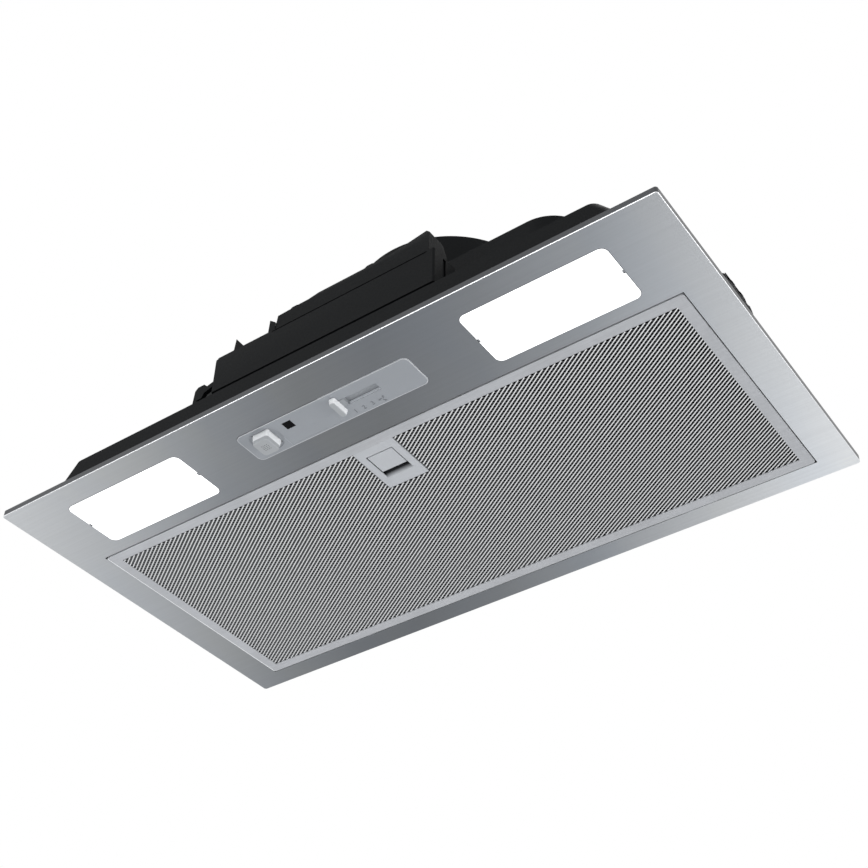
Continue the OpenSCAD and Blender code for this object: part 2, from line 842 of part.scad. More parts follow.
module control_frame() {
    w = plate_w + 2 * plate_lip;
    d = plate_d + 2 * plate_lip;
    color(black) translate([plate_x, -plate_y]) {
        difference() {
            slab(w, d, plate_r, plate_top, frame_top);
            slab(w - 2 * frame_wall, d - 2 * frame_wall, plate_r - frame_wall, plate_top - 1,
                frame_top - frame_wall);
            block(w / 2 - 27.5, w / 2 - 13.5, -6, 6, frame_top - 3, frame_top + 1);
        }
        for (k = [-1, 1]) difference() {
            union() {
                block(min(k * w / 2, k * (w / 2 + ear_l)), max(k * w / 2, k * (w / 2 + ear_l)),
                    -ear_w / 2, ear_w / 2, panel_top, panel_top + tab_t);
                block(k > 0 ? w / 2 - 1 : -w / 2, k > 0 ? w / 2 : -w / 2 + 1,
                    -ear_w / 2, ear_w / 2, plate_top, panel_top + tab_t);
            }
            post(k * control_stud_x, 0, panel_top - 1, panel_top + tab_t + 1, stud_r + screw_gap);
        }
        for (k = [-1, 1], j = [-1, 1])
            post(k * (w / 2 - 8), j * (d / 2 - 5), board_z + board_t, frame_top - frame_wall + e, 2.5);
    }
}

module control_board() {
    w = plate_w + 2 * plate_lip - 2 * frame_wall - 2;
    d = plate_d + 2 * plate_lip - 2 * frame_wall - 2;
    color("#2f6b3a") translate([plate_x, -plate_y]) {
        slab(w, d, 2, board_z, board_z + board_t);
        block(w / 2 - 24, w / 2 - 12, -5, 5, board_z + board_t - e, board_z + board_t + 3);
    }
}

module light_button() {
    color(white) translate([button_x, -button_y]) {
        hull() {
            slab(button_w - 2 * button_draft - 0.8, button_d - 2 * button_draft - 0.8, 2, button_z,
                button_z + 0.4);
            slab(button_w - 2 * button_draft, button_d - 2 * button_draft, 2.2, button_z + 0.4,
                button_z + 0.8);
            slab(button_w, button_d, 1.6, plate_z - 0.5, plate_z);
        }
        slab(button_w, button_d, 1.6, plate_z - e, plate_top + touch_gap);
        slab(button_w + 2 * flange_over, button_d + 2 * flange_over, 2, plate_top + touch_gap,
            plate_top + touch_gap + button_flange);
        post(0, 0, plate_top + touch_gap + button_flange - e,
            plate_top + touch_gap + button_flange + button_boss_h, button_boss_r);
    }
}

module button_spring() {
    z0 = plate_top + touch_gap + button_flange;
    color("silver") translate([button_x, -button_y, z0])
        coil(button_spring_r, button_wire, switch_z - z0, 4);
}

module light_switch() {
    color(black) translate([button_x, -button_y]) {
        slab(13.5, 13, 1, switch_z, board_z);
        post(0, 0, switch_z - plunger_h, switch_z + e, 1.5);
    }
}

module slider_knob() {
    z1 = plate_z - touch_gap;
    z0 = plate_z - knob_h;
    color(white) {
        hull() {
            translate([knob_x, -slot_y]) slab(knob_w - 2 * knob_draft - 0.6,
                knob_d - 2 * knob_draft - 0.6, 1.2,
                z0, z0 + 0.3);
            translate([knob_x, -slot_y]) slab(knob_w - 2 * knob_draft, knob_d - 2 * knob_draft, 1.5,
                z0 + 0.3, z0 + 0.6);
            translate([knob_x, -slot_y]) slab(knob_w, knob_d, 1.5, z1 - 0.4, z1);
        }
        translate([knob_x, -slot_y]) slab(stem_w * 2, slot_d - 2 * touch_gap, 0.5, z1 - e,
            plate_top + touch_gap);
    }
}

module slider_shutter() {
    z0 = plate_top + touch_gap;
    x1 = knob_x + stem_w;
    color(grey) {
        block(knob_x - shutter_left, slot_x1 + 2, -slot_y - slot_d / 2 - 2, -slot_y + slot_d / 2 + 2,
            z0, z0 + shutter_t);
        block(knob_x - stem_w / 2, knob_x + stem_w / 2, -slot_y - stem_w / 2, -slot_y + stem_w / 2,
            z0 + shutter_t - e, z0 + shutter_t + stem_h);
        block(x1, x1 + carriage_l, -slot_y - slot_d / 2 + touch_gap, -slot_y + slot_d / 2 - touch_gap,
            plate_z - 0.2, z0 + e);
    }
}

module speed_switch() {
    color(black) difference() {
        block(speed_x0, speed_x1, -slot_y - speed_d / 2, -slot_y + speed_d / 2, speed_z, board_z);
        block(knob_x - stem_w / 2 - touch_gap, knob_x + stem_w / 2 + slider_travel + touch_gap,
            -slot_y - stem_w / 2 - touch_gap, -slot_y + stem_w / 2 + touch_gap, speed_z - 1,
                speed_z + groove_h);
    }
}

module indicator_lens() {
    color("#0b0c0e") translate([lens_x, -lens_y]) {
        block(-lens_w / 2, lens_w / 2, -lens_d / 2, lens_d / 2, plate_z + 0.1, plate_top);
        block(-lens_w / 2 - 1, lens_w / 2 + 1, -lens_d / 2 - 1, lens_d / 2 + 1, plate_top, plate_top + 1.2);
        post(0, 0, plate_top + 1.2 - e, board_z, 1.5);
    }
}

module electronics_box() {
    mid_y = (box_front + box_rear) / 2;
    mid_x = (box_left + box_right) / 2;
    color(black) difference() {
        union() {
            translate([mid_x, mid_y]) slab(box_right - box_left, box_d, 1.5, box_z, box_top);
            // Upright fins on the low left part
            translate([0, box_front + 3, 0]) rotate([90, 0, 0]) linear_extrude(1.5) {
                polygon([[box_left + 18, box_top - 1], [box_left + 18.6, box_top + 7.5],
                    [box_left + 24, box_top - 1]]);
                polygon([[lid_left - 5, box_top - 1], [lid_left - 4.6, box_top + 7],
                    [lid_left - 2.4, box_top + 4], [lid_left - 2.4, box_top - 1]]);
            }
        }
        translate([mid_x, mid_y]) slab(box_right - box_left - 2 * box_t, box_d - 2 * box_t, 1,
            box_z + box_t,
            box_top - box_t);
        block(lid_left + box_t, lid_right - box_t, lid_front + box_t, lid_rear - box_t, box_top - box_t - 1,
            box_top + 1);
        // Groove down the right end
        block(box_right - 1.2, box_right + 1, mid_y - 2.4, mid_y + 0.6, box_z + 3, box_top - 2);
        post(box_left + 20, mid_y, box_z - 1, box_z + box_t + 1, 5);
    }
}

module electronics_lid() {
    top = lid_top - box_top;
    color(black) translate([0, 0, box_top]) difference() {
        intersection() {
            translate([0, lid_rear, 0]) rotate([90, 0, 0]) linear_extrude(lid_rear - lid_front) polygon([
                [lid_left, 0], [lid_left + 2, top - 6], [lid_left + 13, top - 5.5],
                    [lid_left + 14, top - 4],
                [lid_left + 18, top - 4], [lid_left + 19, top - 5], [lid_left + 28, top - 4.6],
                [lid_left + 36, top - 2.6], [lid_left + 74, top - 2.2], [lid_left + 76, top - 1],
                [lid_left + 80, top - 1], [lid_left + 82, top - 1.8], [lid_left + 95, top - 1.5],
                [lid_left + 104, top - 0.2], [lid_right - 2.5, top + lid_peak], [lid_right, top + 1],
                    [lid_right, 0]]);
            translate([lid_left - 1, 0, 0]) rotate([90, 0,
                90]) linear_extrude(lid_right - lid_left + 2) polygon([
                [lid_front, -1], [lid_front, top - 5], [lid_front + 4.5, top + lid_peak + 1],
                [lid_rear - lid_chamfer, top + lid_peak + 1],
                [lid_rear - 2, top - 6], [lid_rear, 2], [lid_rear, -1]]);
        }
        block(lid_left + box_t + 2, lid_right - box_t, lid_front + box_t, lid_rear - box_t - 2, -1,
            top - 8);
    }
}

module main_board() {
    x0 = box_left + 6;
    x1 = box_right - 6;
    color("#2f6b3a") {
        block(x0, x1, box_front + box_t + 1, box_rear - box_t - 1, box_z + box_t + board_up,
            box_z + box_t + board_up + board_t);
        for (x = [x0 + 4, x1 - 4], y = [box_front + box_t + 4, box_rear - box_t - 4])
            post(x, y, box_z + box_t, box_z + box_t + board_up + e, 2);
    }
}

module led_driver() {
    z0 = box_z + box_t + board_up + board_t;
    color("#3c3f44") {
        block(box_left + driver_in, box_left + driver_in + driver_w, box_front + box_t + 2.5,
            box_rear - box_t - 2.5, z0, z0 + driver_h);
        block(box_left + choke_in, box_left + choke_in + choke_w, box_front + box_t + 4,
            box_rear - box_t - 4,
            z0, z0 + choke_h);
    }
}

// Plan of the volute seen from above: its radius grows from the tongue to the straight front wall
module volute_plan(add) {
    polygon([for (a = [tongue_a : 6.2 : exit_a + 0.1]) on_volute(a, add)]);
}

module housing_plan() {
    volute_plan(housing_t);
    translate([fan[0], -housing_front]) square([duct_x - fan[0] + 10, duct_y + housing_front]);
    difference() {
        union() {
            translate([duct_x, -housing_front])
                square([housing_right - housing_r - duct_x, housing_front + housing_rear]);
            translate([housing_right - housing_r - e, -housing_front + housing_r])
                square([housing_r + e, housing_front + housing_rear - 2 * housing_r]);
            for (y = [-housing_front + housing_r, housing_rear - housing_r])
                translate([housing_right - housing_r, y]) circle(housing_r);
        }
    }
}

module chamber_plan() {
    difference() {
        translate([duct_x, inner_front]) square([partition_x - duct_x, inner_rear - inner_front]);
        volute_plan(housing_t);
    }
}

module scroll_plan() {
    polygon(concat([for (a = [tongue_a : 6.2 : exit_a + 0.1]) on_volute(a, 0)],
        [[duct_x + 1, inner_front], [duct_x + 1, duct_y - 1.5]]));
}

module compartment_plan() {
    r = housing_r - housing_t;
    x0 = partition_x + housing_t;
    x1 = housing_right - housing_t;
    translate([x0, inner_front]) square([x1 - r - x0, inner_rear - inner_front]);
    translate([x0, inner_front + r]) square([x1 - x0, inner_rear - inner_front - 2 * r]);
    for (y = [inner_front + r, inner_rear - r]) translate([x1 - r, y]) circle(r);
}

module volute_base() {
    color(black) difference() {
        union() {
            translate([0, 0, plate_bottom]) linear_extrude(base_plate_t) housing_plan();
            for (p = ears) post(p[0], p[1], plate_bottom, housing_z, ear_r);
            post(fan[0], fan[1], plate_bottom, wheel_z + bell_over, inlet_r + bell_t);
        }
        post(fan[0], fan[1], plate_bottom - 1, wheel_z + 3, inlet_r);
        for (p = ears) post(p[0], p[1], plate_bottom - 1, housing_z + 1, screw_r + screw_gap);
    }
}

module inlet_grille() {
    bar = 2.2;
    z0 = plate_bottom - grille_t;
    color(black) translate([fan[0], fan[1], z0]) {
        cylinder(r = 9, h = grille_t);
        for (r = [17 : grille_pitch : inlet_r + 4]) ring(r + bar, r, grille_t);
        for (a = [0 : 45 : 315]) rotate(a) translate([8, -bar / 2, 0])
            cube([inlet_r - 4.5, bar, grille_t]);
    }
}

module blower_housing() {
    color(black) difference() {
        union() {
            translate([0, 0, housing_z]) linear_extrude(housing_h) housing_plan();
            for (p = ears) post(p[0], p[1], housing_z, housing_z + ear_t, ear_r);
        }
        translate([0, 0, housing_z - 1]) linear_extrude(housing_h - housing_t + 1) {
            scroll_plan();
            chamber_plan();
            compartment_plan();
        }
        post(spigot[0], spigot[1], ceiling - 1, housing_top + 1, spigot_in);
        post(fan[0], fan[1], ceiling - 1, housing_top + 1, motor_hole_r);
        motor_screw_places() post(0, 0, ceiling - 1, housing_top + 1, motor_screw_r + screw_gap);
        collar_screw_places() post(0, 0, ceiling - 1, housing_top + 1, screw_r);
        for (p = ears) post(p[0], p[1], housing_z - 1, housing_z + ear_t + 1, screw_r + screw_gap);
        // Hatch over the terminals, and the cable's entry
        block(housing_right - housing_t - 1, housing_right + 1, block_y - hatch_d / 2,
            block_y + hatch_d / 2 - 8,
            hatch_z0, hatch_z1);
        for (z = [hatch_z0 - 3, hatch_z1 + 3]) translate([housing_right + 1, block_y - 6, z])
            rotate([0, -90, 0]) cylinder(r = screw_r, h = housing_t + 2);
        translate([gland_x, housing_rear + 1, gland_z]) rotate([90, 0, 0])
            cylinder(r = gland_r + stud_gap, h = housing_t + 2);
        // Openings for the harness
        block(partition_x - 1, partition_x + housing_t + 1, -6, 6, housing_z - 1, housing_z + 6);
    }
}

module about_fan() {
    translate([fan[0], fan[1], 0]) children();
}

module about_spigot() {
    translate([spigot[0], spigot[1], 0]) children();
}

module motor_screw_places() {
    about_fan() for (a = [30, 150, 270]) rotate(a) translate([motor_screw_ring, 0, 0]) children();
}

module collar_screw_places() {
    about_spigot() for (a = [45 : 90 : 315]) rotate(a) translate([collar_ear, 0, 0]) children();
}

module housing_screws() {
    color("silver") for (p = ears) translate([p[0], p[1], housing_z + ear_t])
        screw(screw_r, ear_t + base_plate_t + screw_bite, head_r, head_h);
}

module impeller() {
    mid = wheel_r - blade_l / 2;
    color("#3a3c40") translate([fan[0], fan[1], 0]) difference() {
        union() {
            translate([0, 0, wheel_z]) ring(wheel_r, blade_in + 3, ring_h);
            translate([0, 0, wheel_top - disc_t]) ring(wheel_r, dome_r, disc_t);
            translate([0, 0, dome_z]) ring(dome_r + disc_t, dome_r, wheel_top - dome_z);
            post(0, 0, dome_z, dome_z + disc_t, dome_r + disc_t);
            post(0, 0, dome_z - hub_h / 2, dome_z + hub_h / 2 - 2, hub_r);
            translate([0, 0, wheel_z + ring_h - e]) linear_extrude(wheel_h - ring_h - disc_t + 2 * e)
                for (i = [0 : blades - 1]) rotate(360 * i / blades) blade_plan(mid);
        }
        post(0, 0, dome_z - hub_h, dome_z + hub_h, shaft_r);
    }
}

// Forward-curved blade, a strip bent on five chords
module blade_plan(mid) {
    bow = 2.6;
    n = 5;
    half = blade_l / 2 - 0.3;
    line = [for (i = [0 : n]) let (u = -1 + 2 * i / n) [mid + half * u, -3 * u - bow * (1 - u * u)]];
    polygon(concat(line, [for (i = [n : -1 : 0]) line[i] + [0, blade_t]]));
}

module ring(r_out, r_in, h) {
    difference() {
        cylinder(r = r_out, h = h);
        translate([0, 0, -1]) cylinder(r = r_in, h = h + 2);
    }
}

module motor_shaft() {
    color("silver") post(fan[0], fan[1], dome_z - hub_h / 2 - shaft_out, motor_top - cap_t - 0.5, shaft_r);
}

module motor_rotor() {
    color("#8b6f5a") translate([fan[0], fan[1], stator_z - 1]) ring(bore_r - air_gap, shaft_r, rotor_h);
}

module motor_stator() {
    color("#77797c") translate([fan[0], fan[1], stator_z]) ring(motor_r, bore_r, stator_h);
}

module motor_windings() {
    color("#b8733a") for (z = [stator_z - winding_h, stator_z + stator_h])
        translate([fan[0], fan[1], z]) ring(motor_r - 2 * winding_in, bore_r + winding_in, winding_h);
}

module motor_cap(dir) {
    translate([fan[0], fan[1], 0]) difference() {
        union() {
            difference() {
                cylinder(r = motor_r, h = cap_h);
                translate([0, 0, -1]) cylinder(r = motor_r - cap_t, h = cap_h - cap_t + 1);
            }
            translate([0, 0, cap_h - cap_t - bearing_h]) cylinder(r = bearing_r + bearing_boss,
                h = bearing_h + e);
        }
        translate([0, 0, -1]) cylinder(r = bearing_r, h = cap_h - cap_t + 1);
        if (dir < 0) translate([0, 0, -1]) cylinder(r = shaft_r + 0.5, h = cap_h + 2);
    }
}

module motor_top_cap() {
    color("#9da1a5") {
        difference() {
            union() {
                translate([0, 0, motor_top - cap_h]) motor_cap(1);
                motor_screw_places() post(0, 0, motor_top - cap_t - 4, motor_top - cap_t + e, 3.4);
            }
            motor_screw_places() post(0, 0, motor_top - cap_t - 3.5, motor_top + 1, motor_screw_r);
        }
    }
}

module motor_bottom_cap() {
    color("#9da1a5") translate([0, 0, motor_z + cap_h]) mirror([0, 0, 1]) motor_cap(-1);
}

module bearing_at(z) {
    color("silver") translate([fan[0], fan[1], z]) ring(bearing_r, shaft_r + bearing_gap, bearing_h);
}

module top_bearing() {
    bearing_at(motor_top - cap_t - bearing_h);
}

module bottom_bearing() {
    bearing_at(motor_z + cap_t);
}

module motor_bushes() {
    color("#1b1b1c") motor_screw_places() difference() {
        post(0, 0, motor_top, ceiling, bush_r);
        post(0, 0, motor_top - 1, ceiling + 1, motor_screw_r + screw_gap);
    }
}

module motor_screws() {
    color("silver") motor_screw_places() translate([0, 0, housing_top])
        screw(motor_screw_r, housing_t + bush_h + cap_t + 3, head_r, head_h);
}

module capacitor() {
    color("#d9dadb") post(comp_x, cap_y, housing_z, housing_z + cap_l, cap_r);
}

module capacitor_clip() {
    z0 = housing_z + cap_l / 2;
    color(black) {
        difference() {
            union() {
                post(comp_x, cap_y, z0, z0 + strap_h, cap_r + cap_clip_t);
                block(partition_x + housing_t, comp_x, cap_y - strap_h / 2, cap_y + strap_h / 2, z0,
                    z0 + strap_h);
            }
            post(comp_x, cap_y, z0 - 1, z0 + strap_h + 1, cap_r);
        }
    }
}

module terminal_block() {
    x0 = comp_x - block_w / 2;
    color("#e4e2da") difference() {
        block(x0, x0 + block_w, block_y - block_d / 2, block_y + block_d / 2, housing_z,
            housing_z + block_h);
        for (i = [0 : poles - 1]) post(comp_x, block_y + (i - 1) * pole_step, housing_z + 8,
            housing_z + block_h + 1, 3);
        for (i = [0 : poles - 1]) translate([x0 - 1, block_y + (i - 1) * pole_step, housing_z + 5])
            rotate([0, 90, 0]) cylinder(r = 2, h = block_w + 2);
    }
}

module terminal_cover() {
    y0 = block_y - hatch_d / 2 - cover_over;
    y1 = block_y + hatch_d / 2 - 8 + cover_over;
    color(black) difference() {
        union() {
            block(housing_right, housing_right + cover_t, y0, y1, hatch_z0 - 7, hatch_z1 + 7);
            block(housing_right - housing_t, housing_right + e,
                y0 + cover_over + touch_gap, y1 - cover_over - touch_gap,
                hatch_z0 + touch_gap, hatch_z1 - touch_gap);
        }
        for (z = [hatch_z0 - 3, hatch_z1 + 3]) translate([housing_right - 1, block_y - 6, z])
            rotate([0, 90, 0]) cylinder(r = screw_r + screw_gap, h = cover_t + 2);
    }
}

module cover_screws() {
    color("silver") for (z = [hatch_z0 - 3, hatch_z1 + 3]) translate([housing_right + cover_t,
        block_y - 6, z])
        rotate([0, 90, 0]) screw(screw_r, cover_t + housing_t, 3, 1.8);
}

module cable_gland() {
    color(black) translate([gland_x, housing_rear, gland_z]) rotate([-90, 0, 0]) difference() {
        union() {
            translate([0, 0, -housing_t - 4]) cylinder(r = gland_r, h = housing_t + 4 + gland_l - 3);
            translate([0, 0, gland_l - 3]) cylinder(r1 = gland_r, r2 = gland_r - 2, h = 3);
            cylinder(r = gland_nut, h = 5, $fn = 6);
            translate([0, 0, -housing_t - 4]) cylinder(r = gland_nut, h = 4, $fn = 6);
        }
        translate([0, 0, -housing_t - 5]) cylinder(r = gland_bore, h = gland_l + housing_t + 7);
    }
}

module outlet_collar() {
    z0 = housing_top;
    color(black) {
        difference() {
            union() {
                about_spigot() translate([0, 0, z0]) rotate_extrude($fn = 96) polygon([
                    [spigot_in, 0], [spigot_r + collar_flange, 0],
                    [spigot_r + collar_flange, collar_flange_t], [spigot_r, collar_flange_t],
                    [spigot_r, spigot_h - lead_in], [spigot_r - lead_in / 2, spigot_h],
                        [spigot_in, spigot_h]]);
                collar_screw_places() post(0, 0, z0, z0 + collar_flange_t, ear_r);
            }
            about_spigot() post(0, 0, z0 - 1, spigot_top + 1, spigot_in);
            collar_screw_places() post(0, 0, z0 - 1, z0 + 5, screw_r + screw_gap);
        }
        difference() {
            union() {
                // Ledge that the flaps close on
                about_spigot() translate([0, 0, pin_z - flap_drop - flap_t / 2 - touch_gap - ledge_t])
                    ring(spigot_in + spigot_t / 2, spigot_in - ledge_w, ledge_t);
                // Bosses that hold the pin's ends
                for (s = [-1, 1]) translate([spigot[0], spigot[1] + s * (spigot_in - 2.2) - 3, pin_z]) {
                    translate([-pin_boss / 2, 0, -5]) cube([pin_boss, 6, 5]);
                    rotate([-90, 0, 0]) cylinder(r = pin_boss / 2, h = 6);
                }
            }
            translate([spigot[0], spigot[1] + spigot_r + 1, pin_z]) rotate([90, 0, 0])
                cylinder(r = pin_r, h = 2 * spigot_r + 2);
        }
    }
}

module collar_screws() {
    color("silver") collar_screw_places() translate([0, 0, housing_top + collar_flange_t])
        screw(screw_r, collar_flange_t + housing_t, head_r - 0.5, head_h);
}

// Half of the round non-return flap, on the left for s = -1
module flap(s, first) {
    z1 = pin_z - flap_drop + flap_t / 2;
    inner = knuckle_r + knuckle_gap;
    length = knuckle_n * knuckle_l;
    color(black) difference() {
        union() {
            intersection() {
                about_spigot() post(0, 0, z1 - flap_t, z1, flap_r);
                translate([s > 0 ? spigot[0] + inner : spigot[0] - flap_r - 1, spigot[1] - flap_r,
                    z1 - flap_t])
                    cube([flap_r + 1 - (s > 0 ? 0 : inner), 2 * flap_r, flap_t]);
            }
            for (i = [first : 2 : knuckle_n - 1]) {
                y0 = spigot[1] - length / 2 + i * knuckle_l + knuckle_gap / 2;
                translate([spigot[0], y0, pin_z]) rotate([-90, 0, 0])
                    cylinder(r = knuckle_r, h = knuckle_l - knuckle_gap);
                translate([s > 0 ? spigot[0] : spigot[0] - inner - 1, y0, z1 - flap_t])
                    cube([inner + 1, knuckle_l - knuckle_gap, flap_t]);
            }
        }
        translate([spigot[0], spigot[1] - flap_r - 1, pin_z]) rotate([-90, 0, 0])
            cylinder(r = pin_r + pin_gap, h = 2 * flap_r + 2);
        // Room for the collar's pin bosses
        for (k = [-1, 1]) translate([spigot[0], spigot[1] + k * (spigot_in - 2.2), pin_z])
            cube([pin_boss + 1.6, 8, 16], center = true);
    }
}

module left_flap() {
    flap(-1, 0);
}

module right_flap() {
    flap(1, 1);
}

module flap_pin() {
    color("silver") translate([spigot[0], spigot[1] + spigot_in - spigot_t / 4, pin_z]) rotate([90, 0, 0])
        cylinder(r = pin_r, h = 2 * spigot_in - spigot_t / 2);
}

// Leaf spring bent over at its top, with windows in the bend
module side_clip(s) {
    x0 = clip_face;
    out_r = clip_bend_r + clip_t;
    mid_z = clip_h - out_r;
    n = 8;
    function bend(r) = [for (i = [0 : n]) let (a = 180 - 165 * i / n)
        [x0 + out_r + r * cos(a), mid_z + r * sin(a)]];
    outer = concat([[x0, clip_foot + 0.5]], bend(out_r),
        [[x0 + clip_out, clip_low], [x0 + clip_out - 3, clip_low - 5]]);
    inner = concat([[x0 + clip_t, clip_foot + 0.5]], bend(clip_bend_r),
        [[x0 + clip_out - clip_t, clip_low], [x0 + clip_out - clip_t - 3, clip_low - 4.5]]);
    color("#55585c") mirror([s < 0 ? 1 : 0, 0, 0]) difference() {
        translate([0, clip_w / 2, 0]) rotate([90, 0, 0]) linear_extrude(clip_w)
            polygon(concat(outer, [for (i = [len(inner) - 1 : -1 : 0]) inner[i]]));
        for (y = [-1 : 1]) block(x0 + out_r + 1, x0 + clip_out + 5,
            y * clip_slot_pitch - clip_slot_w / 2, y * clip_slot_pitch + clip_slot_w / 2,
            clip_h - 2 - clip_slot_h, clip_h - 2);
        for (y = [-1, 1]) translate([x0 - 1, y * clip_w / 4, clip_screw_z])
            rotate([0, 90, 0]) cylinder(r = screw_r + screw_gap, h = clip_t + 2);
    }
}

module clip_screws() {
    color("silver") for (s = [-1, 1], y = [-1, 1])
        translate([s * (clip_face + clip_t), y * clip_w / 4, clip_screw_z]) rotate([0, s * 90, 0])
            screw(screw_r, clip_screw_l, 3.2, 2);
}

bottom_panel();
panel_nuts();
casing_base();
filter_frame();
filter_face_mesh();
filter_core();
filter_back_mesh();
latch_plate();
latch_handle();
latch_spring();
diffuser(-1);  // left_diffuser
diffuser(1);  // right_diffuser
lamp_tray(-1);  // left_lamp_tray
lamp_tray(1);  // right_lamp_tray
led_board(-1);  // left_led_board
led_board(1);  // right_led_board
control_plate();
control_frame();
control_board();
light_button();
button_spring();
light_switch();
slider_knob();
slider_shutter();
speed_switch();
indicator_lens();
electronics_box();
electronics_lid();
main_board();
led_driver();
volute_base();
inlet_grille();
blower_housing();
housing_screws();
impeller();
motor_shaft();
motor_rotor();
motor_stator();
motor_windings();
motor_top_cap();
motor_bottom_cap();
top_bearing();
bottom_bearing();
motor_bushes();
motor_screws();
capacitor();
capacitor_clip();
terminal_block();
terminal_cover();
cover_screws();
cable_gland();
outlet_collar();
collar_screws();
left_flap();
right_flap();
flap_pin();
side_clip(-1);  // left_clip
side_clip(1);  // right_clip
clip_screws();
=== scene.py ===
import bpy, bmesh, json, math
from mathutils import Matrix, Vector


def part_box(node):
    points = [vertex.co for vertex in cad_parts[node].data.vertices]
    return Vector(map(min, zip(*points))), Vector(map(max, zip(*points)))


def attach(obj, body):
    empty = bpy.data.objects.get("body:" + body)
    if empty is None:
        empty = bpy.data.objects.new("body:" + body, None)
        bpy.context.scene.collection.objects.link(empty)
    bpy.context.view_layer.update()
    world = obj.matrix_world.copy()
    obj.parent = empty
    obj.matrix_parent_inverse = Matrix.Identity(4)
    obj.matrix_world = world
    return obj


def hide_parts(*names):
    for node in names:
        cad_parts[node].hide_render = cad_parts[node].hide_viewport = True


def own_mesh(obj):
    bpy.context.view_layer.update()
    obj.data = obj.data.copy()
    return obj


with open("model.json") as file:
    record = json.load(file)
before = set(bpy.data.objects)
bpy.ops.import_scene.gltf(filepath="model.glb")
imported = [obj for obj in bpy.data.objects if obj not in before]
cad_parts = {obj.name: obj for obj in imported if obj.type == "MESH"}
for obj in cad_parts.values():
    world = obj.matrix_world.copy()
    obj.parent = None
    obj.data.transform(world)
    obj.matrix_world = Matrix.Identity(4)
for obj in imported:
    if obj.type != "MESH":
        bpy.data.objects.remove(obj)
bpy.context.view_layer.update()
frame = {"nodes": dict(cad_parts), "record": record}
mm = 0.001

# Camera, backdrop and studio light

camera = {
    "location": (0.47114, -0.63183, -0.62845),
    "right": (0.82727, 0.56180, -0.00253),
    "up": (0.36711, -0.53715, 0.75941),
    "lens": 60.26,
    "sensor": 36.0,
    "shiftX": -0.047,
    "clip": (0.02, 40.0),
}

studio = {
    "floorLevel": -1.2,
    "floorSize": 60.0,
    "floorColour": (0.85, 0.85, 0.85, 1),
    "floorRoughness": 0.9,
    "floorGlow": 0.7,
    "fillColour": (0.94, 0.97, 1, 1),
    "fillStrength": 0.42,
}

softboxes = {
    "frontSoftbox": {"at": (-0.55, -2.1, 0.25), "aim": (0.0, -0.1, 0.0), "size": (1.6, 1.2), "watts": 34.0},
    "rightSoftbox": {"at": (1.9, 0.5, -0.35), "aim": (0.1, 0.0, 0.0), "size": (1.4, 1.2), "watts": 22.0},
    "topSoftbox": {"at": (-0.4, 0.8, 2.3), "aim": (0.0, 0.0, 0.1), "size": (2.2, 2.2), "watts": 47.0},
}


def added(name, data):
    made = bpy.data.objects.new(name, data)
    bpy.context.scene.collection.objects.link(made)
    return made


def node(owner, kind, **values):
    made = owner.node_tree.nodes.new(kind)
    for key, value in values.items():
        if hasattr(made, key):
            setattr(made, key, value)
        else:
            made.inputs[key.replace("_", " ")].default_value = value
    return made


def join(owner, source, target):
    owner.node_tree.links.new(source, target)


def makeCamera():
    data = bpy.data.cameras.new("photoCamera")
    data.lens, data.sensor_width = camera["lens"], camera["sensor"]
    data.shift_x = camera["shiftX"]
    data.clip_start, data.clip_end = camera["clip"]
    cam = added("photoCamera", data)
    right, up = Vector(camera["right"]).normalized(), Vector(camera["up"])
    up = (up - right * up.dot(right)).normalized()
    turn = Matrix((right, up, right.cross(up))).transposed()
    cam.matrix_world = Matrix.Translation(camera["location"]) @ turn.to_4x4()
    bpy.context.scene.camera = cam


def makeWorld():
    world = bpy.data.worlds.new("studioWorld")
    bpy.context.scene.world = world
    world.use_nodes = True
    world.node_tree.nodes.clear()
    seen = node(world, "ShaderNodeBackground", Color=(1, 1, 1, 1))
    fill = node(world, "ShaderNodeBackground", Color=studio["fillColour"], Strength=studio["fillStrength"])
    rays, mix = node(world, "ShaderNodeLightPath"), node(world, "ShaderNodeMixShader")
    direct = rays.outputs["Is Camera Ray"]
    for kind in ("Is Glossy Ray", "Is Transmission Ray"):
        either = node(world, "ShaderNodeMath", operation="MAXIMUM")
        join(world, direct, either.inputs[0])
        join(world, rays.outputs[kind], either.inputs[1])
        direct = either.outputs[0]
    for source, socket in zip((direct, fill.outputs[0], seen.outputs[0]), mix.inputs):
        join(world, source, socket)
    join(world, mix.outputs[0], node(world, "ShaderNodeOutputWorld").inputs["Surface"])


def makeFloor():
    bpy.ops.mesh.primitive_plane_add(size=studio["floorSize"], location=(0, 0, studio["floorLevel"]))
    floor = bpy.context.object
    floor.name = "studioFloor"
    paint = bpy.data.materials.new("floorPaint")
    paint.use_nodes = True
    shader = paint.node_tree.nodes["Principled BSDF"]
    shader.inputs["Base Color"].default_value = studio["floorColour"]
    shader.inputs["Roughness"].default_value = studio["floorRoughness"]
    glow, blend = node(paint, "ShaderNodeEmission"), node(paint, "ShaderNodeMixShader")
    share = node(paint, "ShaderNodeMath", operation="MULTIPLY")
    share.inputs[1].default_value = studio["floorGlow"]
    join(paint, node(paint, "ShaderNodeLightPath").outputs["Is Camera Ray"], share.inputs[0])
    for source, socket in zip((share, shader, glow), blend.inputs):
        join(paint, source.outputs[0], socket)
    join(paint, blend.outputs[0], paint.node_tree.nodes["Material Output"].inputs["Surface"])
    floor.data.materials.append(paint)


